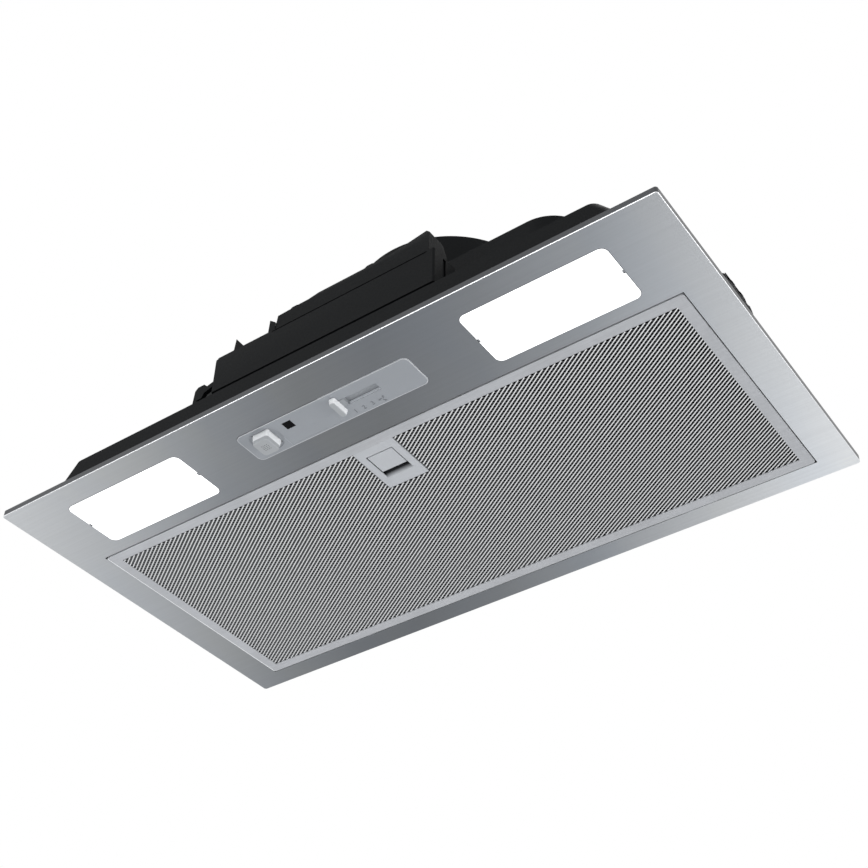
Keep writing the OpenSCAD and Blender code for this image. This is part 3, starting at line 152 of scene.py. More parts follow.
def makeLamps():
    for name, box in softboxes.items():
        lamp = bpy.data.lights.new(name, "AREA")
        lamp.shape = "RECTANGLE"
        lamp.size, lamp.size_y = box["size"]
        lamp.energy = box["watts"]
        holder = added(name, lamp)
        holder.location = box["at"]
        aim = Vector(box["aim"]) - Vector(box["at"])
        holder.rotation_euler = aim.to_track_quat("-Z", "Y").to_euler()
        holder.visible_camera = False


bpy.context.scene.view_settings.view_transform = "Standard"
makeCamera()
makeWorld()
makeFloor()
makeLamps()
print("camera and studio are set")

# Finishes. Each pattern reads Object coordinates, so it stays on its piece

levels = {  # heights between which a finish changes on its piece
    # the panel's rim walls above this height take painted shade
    "panelWallShade": (-4.6 * mm, -4.1 * mm),
    # the panel's lower bend within this height takes a painted highlight
    "panelBendHighlight": (-4.99 * mm, -4.96 * mm),
    # above this height the diffuser's sides stop glowing and take painted shade
    "diffuserFace": (-5.05 * mm, -5.15 * mm),
    "ledBoard": (8.75 * mm, 8.85 * mm),
    # the strands' flanks and bridges above this height take painted shade
    "strandFlankShade": (-4.75 * mm, -4.64 * mm),
    # inside the slot, above this height, the walls take painted light and painted shade
    "slotWallLitAndShaded": (-5.12 * mm, -5.05 * mm),
    # the key's bottom face below this height takes painted shade
    "keyFaceShade": (-9.4 * mm, -10.0 * mm),
    # the latch's recess deeper than this takes painted shade
    "latchPocketShade": (-4.7 * mm, -2.6 * mm),
}


def startFinish(name, colour, rough, metal=0.0, **sockets):
    finish = bpy.data.materials.new(name)
    finish.use_nodes = True
    shader = finish.node_tree.nodes["Principled BSDF"]
    shader.inputs["Base Color"].default_value = (*colour, 1)
    shader.inputs["Roughness"].default_value = rough
    shader.inputs["Metallic"].default_value = metal
    for key, value in sockets.items():
        shader.inputs[key.replace("_", " ")].default_value = value
    return finish, shader, node(finish, "ShaderNodeTexCoord").outputs["Object"]


def stretched(finish, place, scale, offset=(0, 0, 0)):
    mapping = node(finish, "ShaderNodeMapping", Scale=scale, Location=offset)
    join(finish, place, mapping.inputs["Vector"])
    return mapping.outputs["Vector"]


def noise(finish, vector, scale, detail=3.0, rough=0.5):
    made = node(finish, "ShaderNodeTexNoise", Scale=scale, Detail=detail, Roughness=rough)
    join(finish, vector, made.inputs["Vector"])
    return made.outputs["Fac"]


def ramp(finish, factor, stops, interpolation="EASE"):
    made = node(finish, "ShaderNodeValToRGB")
    made.color_ramp.interpolation = interpolation
    while len(made.color_ramp.elements) < len(stops):
        made.color_ramp.elements.new(0.5)
    for element, (at, colour) in zip(made.color_ramp.elements, stops):
        element.position = at
        element.color = (*colour, 1)
    join(finish, factor, made.inputs["Fac"])
    return made.outputs["Color"]


def greys(finish, factor, low, high, start=0.3, end=0.7):
    return ramp(finish, factor, [(start, (low, low, low)), (end, (high, high, high))])


def remap(finish, factor, low, high, to0=0.0, to1=1.0):
    made = node(finish, "ShaderNodeMapRange", From_Min=low, From_Max=high, To_Min=to0, To_Max=to1)
    join(finish, factor, made.inputs["Value"])
    return made.outputs["Result"]


def mixed(finish, factor, a, b, kind="MIX"):
    made = node(finish, "ShaderNodeMix", data_type="RGBA", blend_type=kind)
    for value, socket in ((factor, made.inputs[0]), (a, made.inputs[6]), (b, made.inputs[7])):
        if isinstance(value, bpy.types.NodeSocket):
            join(finish, value, socket)
        else:
            socket.default_value = value if isinstance(value, float) else (*value, 1)
    return made.outputs[2]


def axis(finish, vector, letter):
    made = node(finish, "ShaderNodeSeparateXYZ")
    join(finish, vector, made.inputs[0])
    return made.outputs[letter]


def byHeight(finish, place, name):
    return remap(finish, axis(finish, place, "Z"), *levels[name])


def coloured(finish, shader, source):
    join(finish, source, shader.inputs["Base Color"])


def zoned(finish, shader, place, level, first, then):
    coloured(finish, shader, mixed(finish, byHeight(finish, place, level), first, then))


def roughened(finish, shader, factor, low, high):
    join(finish, remap(finish, factor, 0.3, 0.7, low, high), shader.inputs["Roughness"])


def bump(finish, shader, height, depth, corner=0.0):
    made = node(finish, "ShaderNodeBump", Distance=depth, Strength=1.0)
    join(finish, height, made.inputs["Height"])
    if corner:
        worn = node(finish, "ShaderNodeBevel", samples=6, Radius=corner)
        join(finish, worn.outputs["Normal"], made.inputs["Normal"])
    join(finish, made.outputs["Normal"], shader.inputs["Normal"])


panelLook = {
    "slant": 0.59,  # the sheen runs over x + slant * y
    "shift": 30.8 * mm,
    # tones: the painted sheen, a painted reflection in bands across the panel, dark in the middle and light
    # towards both sides
    "tones": [(-0.305, 0.79), (-0.215, 0.57), (-0.125, 0.342), (-0.05, 0.238), (0.01, 0.215), (0.085, 0.263),
              (0.165, 0.378), (0.26, 0.645), (0.365, 0.985)],
    "tint": (0.955, 1.0, 1.06),
    "brightTint": (0.985, 1.0, 1.015),
    "brightFrom": 0.3,
    "brightOver": 0.45,
    # one dark colour on the rim walls, painted shade
    "wallShadeTone": (0.075, 0.078, 0.083),
    # near-white painted highlight along the lower bend
    "bendHighlightTone": (0.86, 0.87, 0.89),
    "roughness": 0.32,
    "driftGrain": (1, 0.3, 0.3),
    "driftShift": (3.1, 0, 0),
    "driftTones": [(0.3, (0.965, 0.98, 1.0)), (0.5, (1, 1, 1)), (0.7, (1.03, 1.02, 0.99))],
    "brushLines": (5, 700, 700),
    "brushShare": 0.16,
    "brushDepth": 0.001 * mm,
}


def brushedPanel():
    look = panelLook
    finish, shader, place = startFinish("panelSteelPaintedLight", (0.4, 0.42, 0.44), look["roughness"], 1.0)
    lean = node(finish, "ShaderNodeVectorMath", operation="DOT_PRODUCT")
    lean.inputs[1].default_value = (1, look["slant"], 0)
    join(finish, place, lean.inputs[0])
    first, last = look["tones"][0][0], look["tones"][-1][0]
    across = remap(finish, lean.outputs["Value"], first - look["shift"], last - look["shift"])
    stops = []
    for at, tone in look["tones"]:
        bright = min(1.0, max(0.0, (tone - look["brightFrom"]) / look["brightOver"]))
        tint = [a + (b - a) * bright for a, b in zip(look["tint"], look["brightTint"])]
        stops.append(((at - first) / (last - first), [min(1.0, tone * t) for t in tint]))
    drift = noise(finish, stretched(finish, place, look["driftGrain"], look["driftShift"]), 14, 2, 0.45)
    # painted sheen: the bands of tones are painted into the steel's colour as painted reflection
    paintedSheen = mixed(finish, 1.0, ramp(finish, across, stops, "LINEAR"),
                   ramp(finish, drift, look["driftTones"]), "MULTIPLY")
    lines = noise(finish, stretched(finish, place, look["brushLines"]), 1, 4, 0.6)
    brushed = mixed(finish, look["brushShare"], paintedSheen, greys(finish, lines, 0.85, 1.15), "MULTIPLY")
    # painted highlight: the narrow band at the lower bend turns near white
    bendHighlighted = mixed(finish, byHeight(finish, place, "panelBendHighlight"), brushed, look["bendHighlightTone"])
    # the rim walls take the dark colour as painted shade
    zoned(finish, shader, place, "panelWallShade", bendHighlighted, look["wallShadeTone"])
    roughened(finish, shader, lines, look["roughness"] - 0.03, look["roughness"] + 0.04)
    bump(finish, shader, lines, look["brushDepth"])
    return finish


rolled = {"grain": (40, 1200, 1200), "depth": 0.006 * mm, "share": 0.5, "spread": 0.08}


def rollLines(finish, place, tone, grain=rolled["grain"]):
    lines = noise(finish, stretched(finish, place, grain), 1, 4, 0.6)
    return lines, mixed(finish, rolled["share"], tone, greys(finish, lines, 0.9, 1.08), "MULTIPLY")


def shades(colour, less, more):
    return [c * less for c in colour], [min(1, c * more) for c in colour]


def rolledMetal(name, colour, rough, grain=rolled["grain"], depth=rolled["depth"], corner=0.0, metal=1.0):
    finish, shader, place = startFinish(name, colour, rough, metal)
    cloud = noise(finish, place, 22, 3, 0.5)
    tone = mixed(finish, cloud, *shades(colour, 1 - rolled["spread"], 1 + rolled["spread"]))
    lines, lined = rollLines(finish, place, tone, grain)
    coloured(finish, shader, lined)
    roughened(finish, shader, cloud, rough - 0.05, rough + 0.06)
    bump(finish, shader, lines, depth, corner)
    return finish


filterLook = {
    "leftTone": (0.56, 0.57, 0.595),
    "rightTone": (0.48, 0.49, 0.51),
    # a near-white painted highlight along the frame's left edge
    "edgeHighlightTone": (0.97, 0.98, 1.0),
    "edgeHighlightWidth": 0.8 * mm,
    "roughness": 0.45,
    "metal": 0.3,
}


def filterSteel():
    look = filterLook
    finish, shader, place = startFinish("filterSteel", look["leftTone"], look["roughness"], look["metal"])
    low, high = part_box("filter_frame")
    sideways, cloud = axis(finish, place, "X"), noise(finish, place, 22, 3, 0.5)
    tone = mixed(finish, remap(finish, sideways, low[0], high[0]), look["leftTone"], look["rightTone"])
    tone = mixed(finish, 1.0, tone, greys(finish, cloud, 0.95, 1.05), "MULTIPLY")
    lines, lined = rollLines(finish, place, tone)
    # painted highlight: the strip along the frame's left edge turns near white
    highlightEnd = low[0] + look["edgeHighlightWidth"]
    edge = remap(finish, sideways, highlightEnd + 0.1 * mm, highlightEnd)
    coloured(finish, shader, mixed(finish, edge, lined, look["edgeHighlightTone"]))
    roughened(finish, shader, cloud, look["roughness"] - 0.05, look["roughness"] + 0.06)
    bump(finish, shader, lines, rolled["depth"])
    return finish


def moulded(name, colour, rough, grain=900, depth=0.03 * mm, corner=0.0, gloss=0.5):
    finish, shader, place = startFinish(name, colour, rough, Specular_IOR_Level=gloss)
    leather, cloud = noise(finish, place, grain, 2, 0.6), noise(finish, place, 14, 3, 0.55)
    coloured(finish, shader, mixed(finish, cloud, *shades(colour, 0.94, 1.06)))
    roughened(finish, shader, leather, rough - 0.05, rough + 0.07)
    bump(finish, shader, leather, depth, corner)
    return finish


def litDiffuser():
    # the sides above the glowing face are painted dark grey, painted shade
    white, shadedSideTone = (0.93, 0.94, 0.95), (0.30, 0.31, 0.33)
    finish, shader, place = startFinish("litDiffuser", white, 0.35, Emission_Color=(1, 1, 1, 1))
    glow = byHeight(finish, place, "diffuserFace")
    strength = node(finish, "ShaderNodeMath", operation="MULTIPLY")
    strength.inputs[1].default_value = 1.05
    join(finish, glow, strength.inputs[0])
    join(finish, strength.outputs[0], shader.inputs["Emission Strength"])
    coloured(finish, shader, mixed(finish, glow, shadedSideTone, white))
    bump(finish, shader, noise(finish, place, 260, 2, 0.5), 0.003 * mm)
    return finish


def ledCarrier():
    finish, shader, place = startFinish("ledCarrier", (0.84, 0.84, 0.82), 0.4)
    specks = noise(finish, place, 300, 2, 0.5)
    board = mixed(finish, specks, (0.80, 0.80, 0.78), (0.88, 0.88, 0.86))
    zoned(finish, shader, place, "ledBoard", (0.82, 0.70, 0.22), board)
    bump(finish, shader, specks, 0.01 * mm)
    return finish


def circuitBoard():
    finish, shader, place = startFinish("circuitBoard", (0.03, 0.14, 0.06), 0.35)
    tracks = node(finish, "ShaderNodeTexBrick", offset=0.37, squash=1.3, Scale=160, Mortar_Size=0.07,
                  Color1=(0.025, 0.12, 0.05, 1), Color2=(0.03, 0.15, 0.065, 1), Mortar=(0.10, 0.30, 0.12, 1))
    join(finish, place, tracks.inputs["Vector"])
    coloured(finish, shader, tracks.outputs["Color"])
    bump(finish, shader, tracks.outputs["Fac"], 0.04 * mm)
    return finish


def laminated(name, colour, rough, pitch):
    finish, shader, place = startFinish(name, colour, rough, 1.0)
    wave = node(finish, "ShaderNodeTexWave", bands_direction="Z", Scale=math.pi * 0.1 / pitch, Distortion=0.4)
    join(finish, place, wave.inputs["Vector"])
    coloured(finish, shader, mixed(finish, wave.outputs["Fac"], *shades(colour, 0.6, 1.15)))
    bump(finish, shader, wave.outputs["Fac"], 0.1 * mm)
    return finish


def strandMetal():
    finish, shader, place = startFinish("meshMetal", (0.9, 0.9, 0.9), 0.4, 1.0)
    patches = noise(finish, place, 420, 2, 0.5)
    crest = mixed(finish, patches, (0.94, 0.945, 0.95), (1.0, 1.0, 1.0))
    # flanks and bridges below the crests are painted dark as painted shade, darker towards +x
    across = remap(finish, axis(finish, place, "X"), -230 * mm, 230 * mm)
    shadedFlank = mixed(finish, across, (0.27, 0.274, 0.282), (0.05, 0.051, 0.054))
    zoned(finish, shader, place, "strandFlankShade", crest, shadedFlank)
    roughened(finish, shader, patches, 0.33, 0.48)
    bump(finish, shader, patches, 0.01 * mm)
    return finish


plateLook = {
    "straight": (65.5 * mm, 9.25 * mm, 0),
    "round": 4.5 * mm,
    # a lighter line along the plate's rounded edge, a painted highlight
    "line": 0.55 * mm,
    "lineTone": (0.58, 0.59, 0.61),
    "tones": [(0.315, 0.331, 0.355), (0.355, 0.373, 0.401)],
    # slot walls: dark painted shade below x = -1 mm, lighter than the plate as painted light beyond x = 0
    "slotLightAndShadeTones": [(0.20, 0.21, 0.225), (0.75, 0.77, 0.80)],
}


def controlGrey():
    look = plateLook
    finish, shader, place = startFinish("controlGrey", (0.335, 0.352, 0.378), 0.5, Specular_IOR_Level=0.25)
    leather, cloud = noise(finish, place, 1400, 2, 0.6), noise(finish, place, 14, 3, 0.55)
    face = mixed(finish, cloud, *look["tones"])
    low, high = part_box("control_plate")
    spread = place  # becomes the distance from the plate's middle rectangle
    for operation, value in (("SUBTRACT", ((low[0] + high[0]) / 2, (low[1] + high[1]) / 2, 0)),
                             ("ABSOLUTE", None), ("MULTIPLY", (1, 1, 0)), ("SUBTRACT", look["straight"]),
                             ("MAXIMUM", (0, 0, 0)), ("LENGTH", None)):
        step = node(finish, "ShaderNodeVectorMath", operation=operation)
        join(finish, spread, step.inputs[0])
        if value:
            step.inputs[1].default_value = value
        spread = step.outputs["Value" if operation == "LENGTH" else "Vector"]
    # painted highlight: a lighter band just inside the plate's rounded edge
    lineStart = look["round"] - look["line"]
    rim = mixed(finish, remap(finish, spread, lineStart, lineStart + 0.1 * mm), face, look["lineTone"])
    # the slot's inner walls are painted lighter where they lack light and dark at one end as painted shade
    slotWallLitAndShaded = mixed(finish, remap(finish, axis(finish, place, "X"), -1 * mm, 0.0), *look["slotLightAndShadeTones"])
    zoned(finish, shader, place, "slotWallLitAndShaded", rim, slotWallLitAndShaded)
    roughened(finish, shader, leather, 0.45, 0.57)
    bump(finish, shader, leather, 0.012 * mm, 0.3 * mm)
    return finish


def keyCap():
    finish, shader, place = startFinish("keyCap", (0.86, 0.87, 0.88), 0.38)
    speck = noise(finish, place, 1600, 2, 0.6)
    sides = mixed(finish, speck, (0.84, 0.85, 0.86), (0.89, 0.90, 0.91))
    # the key's bottom face is painted mid grey as painted shade; the sides keep the key's own white
    zoned(finish, shader, place, "keyFaceShade", sides, (0.40, 0.415, 0.43))
    bump(finish, shader, speck, 0.004 * mm)
    return finish


def latchSilver():
    finish, shader, place = startFinish("latchSilver", (0.55, 0.565, 0.59), 0.5, Specular_IOR_Level=0.35)
    specks = noise(finish, place, 1500, 3, 0.7)
    face = mixed(finish, specks, (0.49, 0.505, 0.53), (0.57, 0.585, 0.61))
    # deep in the recess the colour turns near black, painted shade
    zoned(finish, shader, place, "latchPocketShade", face, (0.02, 0.021, 0.024))
    bump(finish, shader, specks, 0.008 * mm, 0.3 * mm)
    return finish


def foil():
    finish, shader, place = startFinish("shadedFilterFoil", (0.03, 0.03, 0.03), 0.7, Specular_IOR_Level=0.06)
    # the foil's near-black colour and its darkening towards +x are painted shade inside the filter's layers
    across = remap(finish, axis(finish, place, "X"), -230 * mm, 200 * mm)
    tone = ramp(finish, across, [(0.0, (0.04, 0.041, 0.043)), (0.5, (0.006, 0.006, 0.0065)),
                                 (1.0, (0.001, 0.001, 0.001))])
    cells = node(finish, "ShaderNodeTexVoronoi", Scale=500)
    join(finish, place, cells.inputs["Vector"])
    spots = greys(finish, cells.outputs["Distance"], 0.5, 1.3, 0.0, 0.8)
    coloured(finish, shader, mixed(finish, 0.5, tone, spots, "MULTIPLY"))
    bump(finish, shader, cells.outputs["Distance"], 0.2 * mm)
    return finish


finishes = {finish.name: finish for finish in (
    brushedPanel(),
    filterSteel(),
    rolledMetal("frameSteel", (0.55, 0.56, 0.585), 0.45, metal=0.3),
    latchSilver(),
    strandMetal(),
    rolledMetal("backMesh", (0.30, 0.31, 0.32), 0.5, (500, 500, 500), 0.0001),
    foil(),
    rolledMetal("zincPlating", (0.62, 0.63, 0.65), 0.3, (700, 700, 700), 0.000008),
    rolledMetal("springWire", (0.46, 0.47, 0.48), 0.3, (900, 900, 900), 0.000005),
    litDiffuser(),
    moulded("trayWhite", (0.78, 0.78, 0.77), 0.45),
    ledCarrier(),
    controlGrey(),
    keyCap(),
    # the raised marks are the plate's own grey; their darker grey is painted shade
    moulded("markShadeGrey", (0.20, 0.21, 0.225), 0.5, 1200, 0.00001, gloss=0.3),
    moulded("dotGrey", (0.11, 0.115, 0.12), 0.5, 1200, 0.00001, gloss=0.3),
    moulded("controlBlack", (0.018, 0.018, 0.02), 0.5, corner=0.0004, gloss=0.2),
    moulded("smokedLens", (0.002, 0.002, 0.003), 0.25, 200, 0.000001, gloss=0.06),
    moulded("shutterGrey", (0.33, 0.345, 0.365), 0.5, 900, 0.00002, gloss=0.25),
    circuitBoard(),
    moulded("driverCase", (0.06, 0.06, 0.065), 0.5, corner=0.0005, gloss=0.2),
    # flat near-black finish for painted shade pieces
    moulded("paintedShadeBlack", (0.0008, 0.0008, 0.0009), 0.8, 600, 0.00001, gloss=0.0),
    moulded("casingBlack", (0.0045, 0.005, 0.0055), 0.55, 700, 0.00003, gloss=0.05),
    moulded("glandNylon", (0.018, 0.018, 0.019), 0.5, 500, 0.00002, corner=0.0005, gloss=0.2),
    moulded("flapBlack", (0.022, 0.022, 0.024), 0.5, 800, 0.00003, corner=0.0003, gloss=0.2),
    rolledMetal("groundSteel", (0.60, 0.61, 0.62), 0.22, (900, 900, 60), 0.000004),
    moulded("wheelPlastic", (0.03, 0.03, 0.033), 0.45, corner=0.0003, gloss=0.2),
    rolledMetal("castAluminium", (0.60, 0.61, 0.62), 0.45, (400, 400, 400), 0.00006, corner=0.0006),
    laminated("statorSheets", (0.30, 0.30, 0.31), 0.45, 0.0005),
    laminated("rotorCage", (0.48, 0.46, 0.44), 0.4, 0.0005),
    laminated("copperWinding", (0.62, 0.26, 0.10), 0.35, 0.0008),
    moulded("bushRubber", (0.012, 0.012, 0.012), 0.8, 500, 0.00005),
    moulded("capacitorCase", (0.68, 0.69, 0.70), 0.3, 700, 0.000005, corner=0.0008),
    moulded("strapNylon", (0.02, 0.02, 0.02), 0.5, corner=0.0004, gloss=0.2),
    moulded("terminalIvory", (0.66, 0.62, 0.50), 0.4, corner=0.0004),
    moulded("clipSteel", (0.008, 0.0085, 0.0095), 0.6, 900, 0.000006, corner=0.0003, gloss=0.03),
)}

finishOfSlot = {
    "steel_panel": "frameSteel", "zinc_plated": "zincPlating", "spring_steel": "springWire",
    "filter_mesh": "backMesh", "filter_foil": "shadedFilterFoil", "lamp_diffuser": "litDiffuser",
    "lamp_tray": "trayWhite", "led_board": "ledCarrier", "control_grey": "controlGrey",
    "control_white": "keyCap", "control_black": "controlBlack", "smoked_lens": "smokedLens",
    "circuit_board": "circuitBoard", "driver_case": "driverCase", "black_casing": "casingBlack",
    "cable_gland": "glandNylon", "flap_plastic": "flapBlack", "pin_steel": "groundSteel",
    "impeller_plastic": "wheelPlastic", "motor_aluminium": "castAluminium", "stator_steel": "statorSheets",
    "rotor_aluminium": "rotorCage", "copper_winding": "copperWinding", "bush_rubber": "bushRubber",
    "capacitor_case": "capacitorCase", "capacitor_strap": "strapNylon",
    "terminal_plastic": "terminalIvory", "clip_steel": "clipSteel",
}
finishOfNode = {
    "bottom_panel": "panelSteelPaintedLight", "filter_frame": "filterSteel", "latch_plate": "latchSilver",
    "latch_handle": "latchSilver", "slider_shutter": "shutterGrey",
}
slotOfNode = {part["node"]: part["material_slot"] for part in frame["record"]["subparts"]}
bodyOfNode = {name: body for body, names in frame["record"]["behaviour"]["bodies"].items() for name in names}


def finishFor(nodeName):
    return finishes[finishOfNode.get(nodeName, finishOfSlot[slotOfNode[nodeName]])]


for nodeName, cadObject in frame["nodes"].items():
    if not cadObject.material_slots:
        cadObject.data.materials.append(finishFor(nodeName))
    for slot in cadObject.material_slots:
        slot.material = finishFor(nodeName)
print("finishes are on", len(frame["nodes"]), "nodes")

# Shared makers

easing = {
    "weld": 0.002 * mm,
    "flatAngle": 0.6,
    "shortest": 0.2 * mm,  # edges up to this length stay sharp
    "speck": 1e-7,
    "shadingAngle": 32,
}


def linked(name, mesh, finish):
    piece = added(name, mesh)
    mesh.materials.clear()
    mesh.materials.append(finish)
    return piece


def evaluated(holder):
    bpy.context.view_layer.update()
    graph = bpy.context.evaluated_depsgraph_get()
    return bpy.data.meshes.new_from_object(holder.evaluated_get(graph), depsgraph=graph)


def baked(holder, name, finish):
    mesh = evaluated(holder)
    mesh.name = name
    old = holder.data
    bpy.data.objects.remove(holder)
    if old.users == 0:
        bpy.data.meshes.remove(old)
    return linked(name, mesh, finish)


def meshOf(name, shape, outward=True):
    if outward:
        bmesh.ops.recalc_face_normals(shape, faces=shape.faces)
    mesh = bpy.data.meshes.new(name)
    shape.to_mesh(mesh)
    shape.free()
    return mesh


def skin(shape, rings):
    loops = [[shape.verts.new(point) for point in ring] for ring in rings]
    for a, b in zip(loops, loops[1:]):
        for i in range(len(a)):
            j = (i + 1) % len(a)
            shape.faces.new((a[i], a[j], b[j], b[i]))
    return loops


def solid(name, rings):
    shape = bmesh.new()
    loops = skin(shape, rings)
    shape.faces.new(loops[0])
    shape.faces.new(loops[-1])
    return meshOf(name, shape)


def smooth(mesh):
    mesh.polygons.foreach_set("use_smooth", [True] * len(mesh.polygons))
    mesh.set_sharp_from_angle(angle=math.radians(easing["shadingAngle"]))


def rest(piece, nodeNames, body):
    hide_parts(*nodeNames)
    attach(piece, body)


def softened(nodeName, pieceName, width, segments=2, sharp=35.0, wider=None, formed=None, bent=None):
    shape = bmesh.new()
    shape.from_mesh(frame["nodes"][nodeName].data)
    bmesh.ops.remove_doubles(shape, verts=shape.verts, dist=easing["weld"])
    bmesh.ops.dissolve_limit(shape, angle_limit=math.radians(easing["flatAngle"]), verts=shape.verts,
                             edges=shape.edges)
    if formed:
        formed(shape)
    groups = {}
    for edge in shape.edges:
        bends = edge.is_manifold and edge.calc_face_angle(0) > math.radians(sharp)
        if bends and edge.calc_length() > easing["shortest"]:
            size = wider(edge) if wider else width
            if size:
                groups.setdefault(size, []).append(edge)
    for size in sorted(groups, reverse=True):
        edges = [edge for edge in groups[size] if edge.is_valid]
        bmesh.ops.bevel(shape, geom=edges, offset=size, offset_type="OFFSET", segments=segments,
                        profile=0.5, affect="EDGES", clamp_overlap=True)
    bmesh.ops.dissolve_degenerate(shape, dist=easing["speck"], edges=shape.edges)
    if bent:
        bent(shape)
    mesh, finish = meshOf(pieceName, shape, False), finishFor(nodeName)
    smooth(mesh)
    holder = linked("holder", mesh, finish)
    even = holder.modifiers.new("evenShading", "WEIGHTED_NORMAL")
    even.keep_sharp, even.weight = True, 100
    piece = baked(holder, pieceName, finish)
    rest(piece, [nodeName], bodyOfNode[nodeName])
    return piece


def startTree(name, sockets):
    tree = bpy.data.node_groups.new(name, "GeometryNodeTree")
    inputs = {}
    for label, kind in sockets.items():
        socket = tree.interface.new_socket(label, in_out="INPUT", socket_type="NodeSocket" + kind)
        inputs[label] = socket.identifier
    tree.interface.new_socket("Geometry", in_out="OUTPUT", socket_type="NodeSocketGeometry")
    return tree, inputs, tree.nodes.new("NodeGroupInput")


def wired(tree, kind, **sources):
    made = tree.nodes.new(kind)
    for key, source in sources.items():
        tree.links.new(source, made.inputs[key.replace("_", " ")])
    return made


def placed(tree, points, unit, **turned):
    source = wired(tree, "GeometryNodeObjectInfo", Object=unit).outputs["Geometry"]
    spread = wired(tree, "GeometryNodeInstanceOnPoints", Points=points, Instance=source, **turned)
    return wired(tree, "GeometryNodeRealizeInstances", Geometry=spread.outputs[0]).outputs[0]


def finishTree(tree, pieces, finish):
    paint = wired(tree, "GeometryNodeSetMaterial", Geometry=pieces, Material=finish)
    tree.links.new(paint.outputs[0], tree.nodes.new("NodeGroupOutput").inputs[0])


print("makers are ready")

# Expanded mesh of the filter's face and back, one strand crossing repeated over a staggered lattice

meshSizes = {
    "pitchX": 4.57 * mm,
    "pitchY": 2.93 * mm,
    "strandWidth": 1.2 * mm,
    "bridgeWidth": 0.92 * mm,
    "apex": -4.79 * mm,
    "base": -4.36 * mm,
    "bridgeLow": -4.67 * mm,
    "bridgeHigh": -4.5 * mm,
    "halfWidth": 229.2 * mm,
    "front": -56.5 * mm,
    "rear": 121.3 * mm,
    "latchHalf": 17.4 * mm,
    "latchRear": -13.6 * mm,
}
backSizes = {
    **meshSizes,
    "pitchX": 9.14 * mm,
    "pitchY": 5.86 * mm,
    "strandWidth": 1.5 * mm,
    "bridgeWidth": 1.4 * mm,
    "apex": 2.79 * mm,
    "base": 2.24 * mm,
    "bridgeLow": 2.72 * mm,
    "bridgeHigh": 2.3 * mm,
    "halfWidth": 235.5 * mm,
    "front": -63.5 * mm,
    "rear": 123 * mm,
}
latticeSockets = {
    "Pitch X": "pitchX", "Pitch Y": "pitchY", "Half Width": "halfWidth", "Front": "front", "Rear": "rear",
    "Latch Half": "latchHalf", "Latch Rear": "latchRear",
}


def strandCrossing(s):
    w, b = s["strandWidth"] / 2, s["bridgeWidth"] / 2
    strand = [(-w, s["base"]), (-0.74 * w, s["apex"]), (0.62 * w, s["apex"]), (w, s["base"])]
    bridge = [(-b, s["bridgeHigh"]), (0.1 * b, s["bridgeLow"]), (b, s["bridgeHigh"])]
    shape = bmesh.new()
    for slope, section in ((-1, strand), (1, bridge)):
        along = Vector((s["pitchX"] / 4, slope * s["pitchY"] / 4, 0))
        side = Vector((-along.y, along.x, 0)).normalized()
        skin(shape, [[along * end + side * u + Vector((0, 0, z)) for u, z in section] for end in (-1, 1)])
    return meshOf("strandCrossing", shape)


def latticeTree():
    tree, inputs, given = startTree("strandLattice", {
        "Geometry": "Geometry", "Crossing": "Object", **{label: "Float" for label in latticeSockets},
        "Finish": "Material"})

    def maths(operation, a, b=None):
        part = tree.nodes.new("ShaderNodeMath")
        part.operation = operation
        for socket, source in zip(part.inputs, (a, b)):
            if isinstance(source, (int, float)):
                socket.default_value = source
            elif source is not None:
                tree.links.new(given.outputs[source] if isinstance(source, str) else source, socket)
        return part.outputs[0]

    middle = maths("MULTIPLY", maths("ADD", "Rear", "Front"), 0.5)
    columns = maths("CEIL", maths("DIVIDE", maths("MULTIPLY", "Half Width", 2.0), "Pitch X"))
    rows = maths("CEIL", maths("DIVIDE", maths("SUBTRACT", "Rear", "Front"), "Pitch Y"))
    both = tree.nodes.new("GeometryNodeJoinGeometry")
    for shift in (0.0, 0.5):
        grid = wired(tree, "GeometryNodeMeshGrid", Size_X=maths("MULTIPLY", columns, "Pitch X"),
                     Size_Y=maths("MULTIPLY", rows, "Pitch Y"), Vertices_X=maths("ADD", columns, 1.0),
                     Vertices_Y=maths("ADD", rows, 1.0))
        place = wired(tree, "ShaderNodeCombineXYZ", X=maths("MULTIPLY", "Pitch X", shift),
                      Y=maths("ADD", middle, maths("MULTIPLY", "Pitch Y", shift)))
        move = wired(tree, "GeometryNodeTransform", Geometry=grid.outputs["Mesh"],
                     Translation=place.outputs[0])
        tree.links.new(move.outputs[0], both.inputs[0])
    where = tree.nodes.new("GeometryNodeInputPosition")
    x, y = wired(tree, "ShaderNodeSeparateXYZ", Vector=where.outputs[0]).outputs[:2]
    sideways = maths("ABSOLUTE", x)
    byLatch = maths("MULTIPLY", maths("LESS_THAN", sideways, "Latch Half"),
                    maths("LESS_THAN", y, "Latch Rear"))
    outside = maths("MAXIMUM", maths("GREATER_THAN", sideways, "Half Width"),
                    maths("MAXIMUM", maths("GREATER_THAN", y, "Rear"), maths("LESS_THAN", y, "Front")))
    drop = wired(tree, "GeometryNodeDeleteGeometry", Geometry=both.outputs[0],
                 Selection=maths("GREATER_THAN", maths("ADD", byLatch, outside), 0.5))
    drop.domain = "POINT"
    weld = wired(tree, "GeometryNodeMergeByDistance",
                 Geometry=placed(tree, drop.outputs[0], given.outputs["Crossing"]))
    weld.inputs["Distance"].default_value = 0.02 * mm
    finishTree(tree, weld.outputs[0], given.outputs["Finish"])
    return tree, inputs


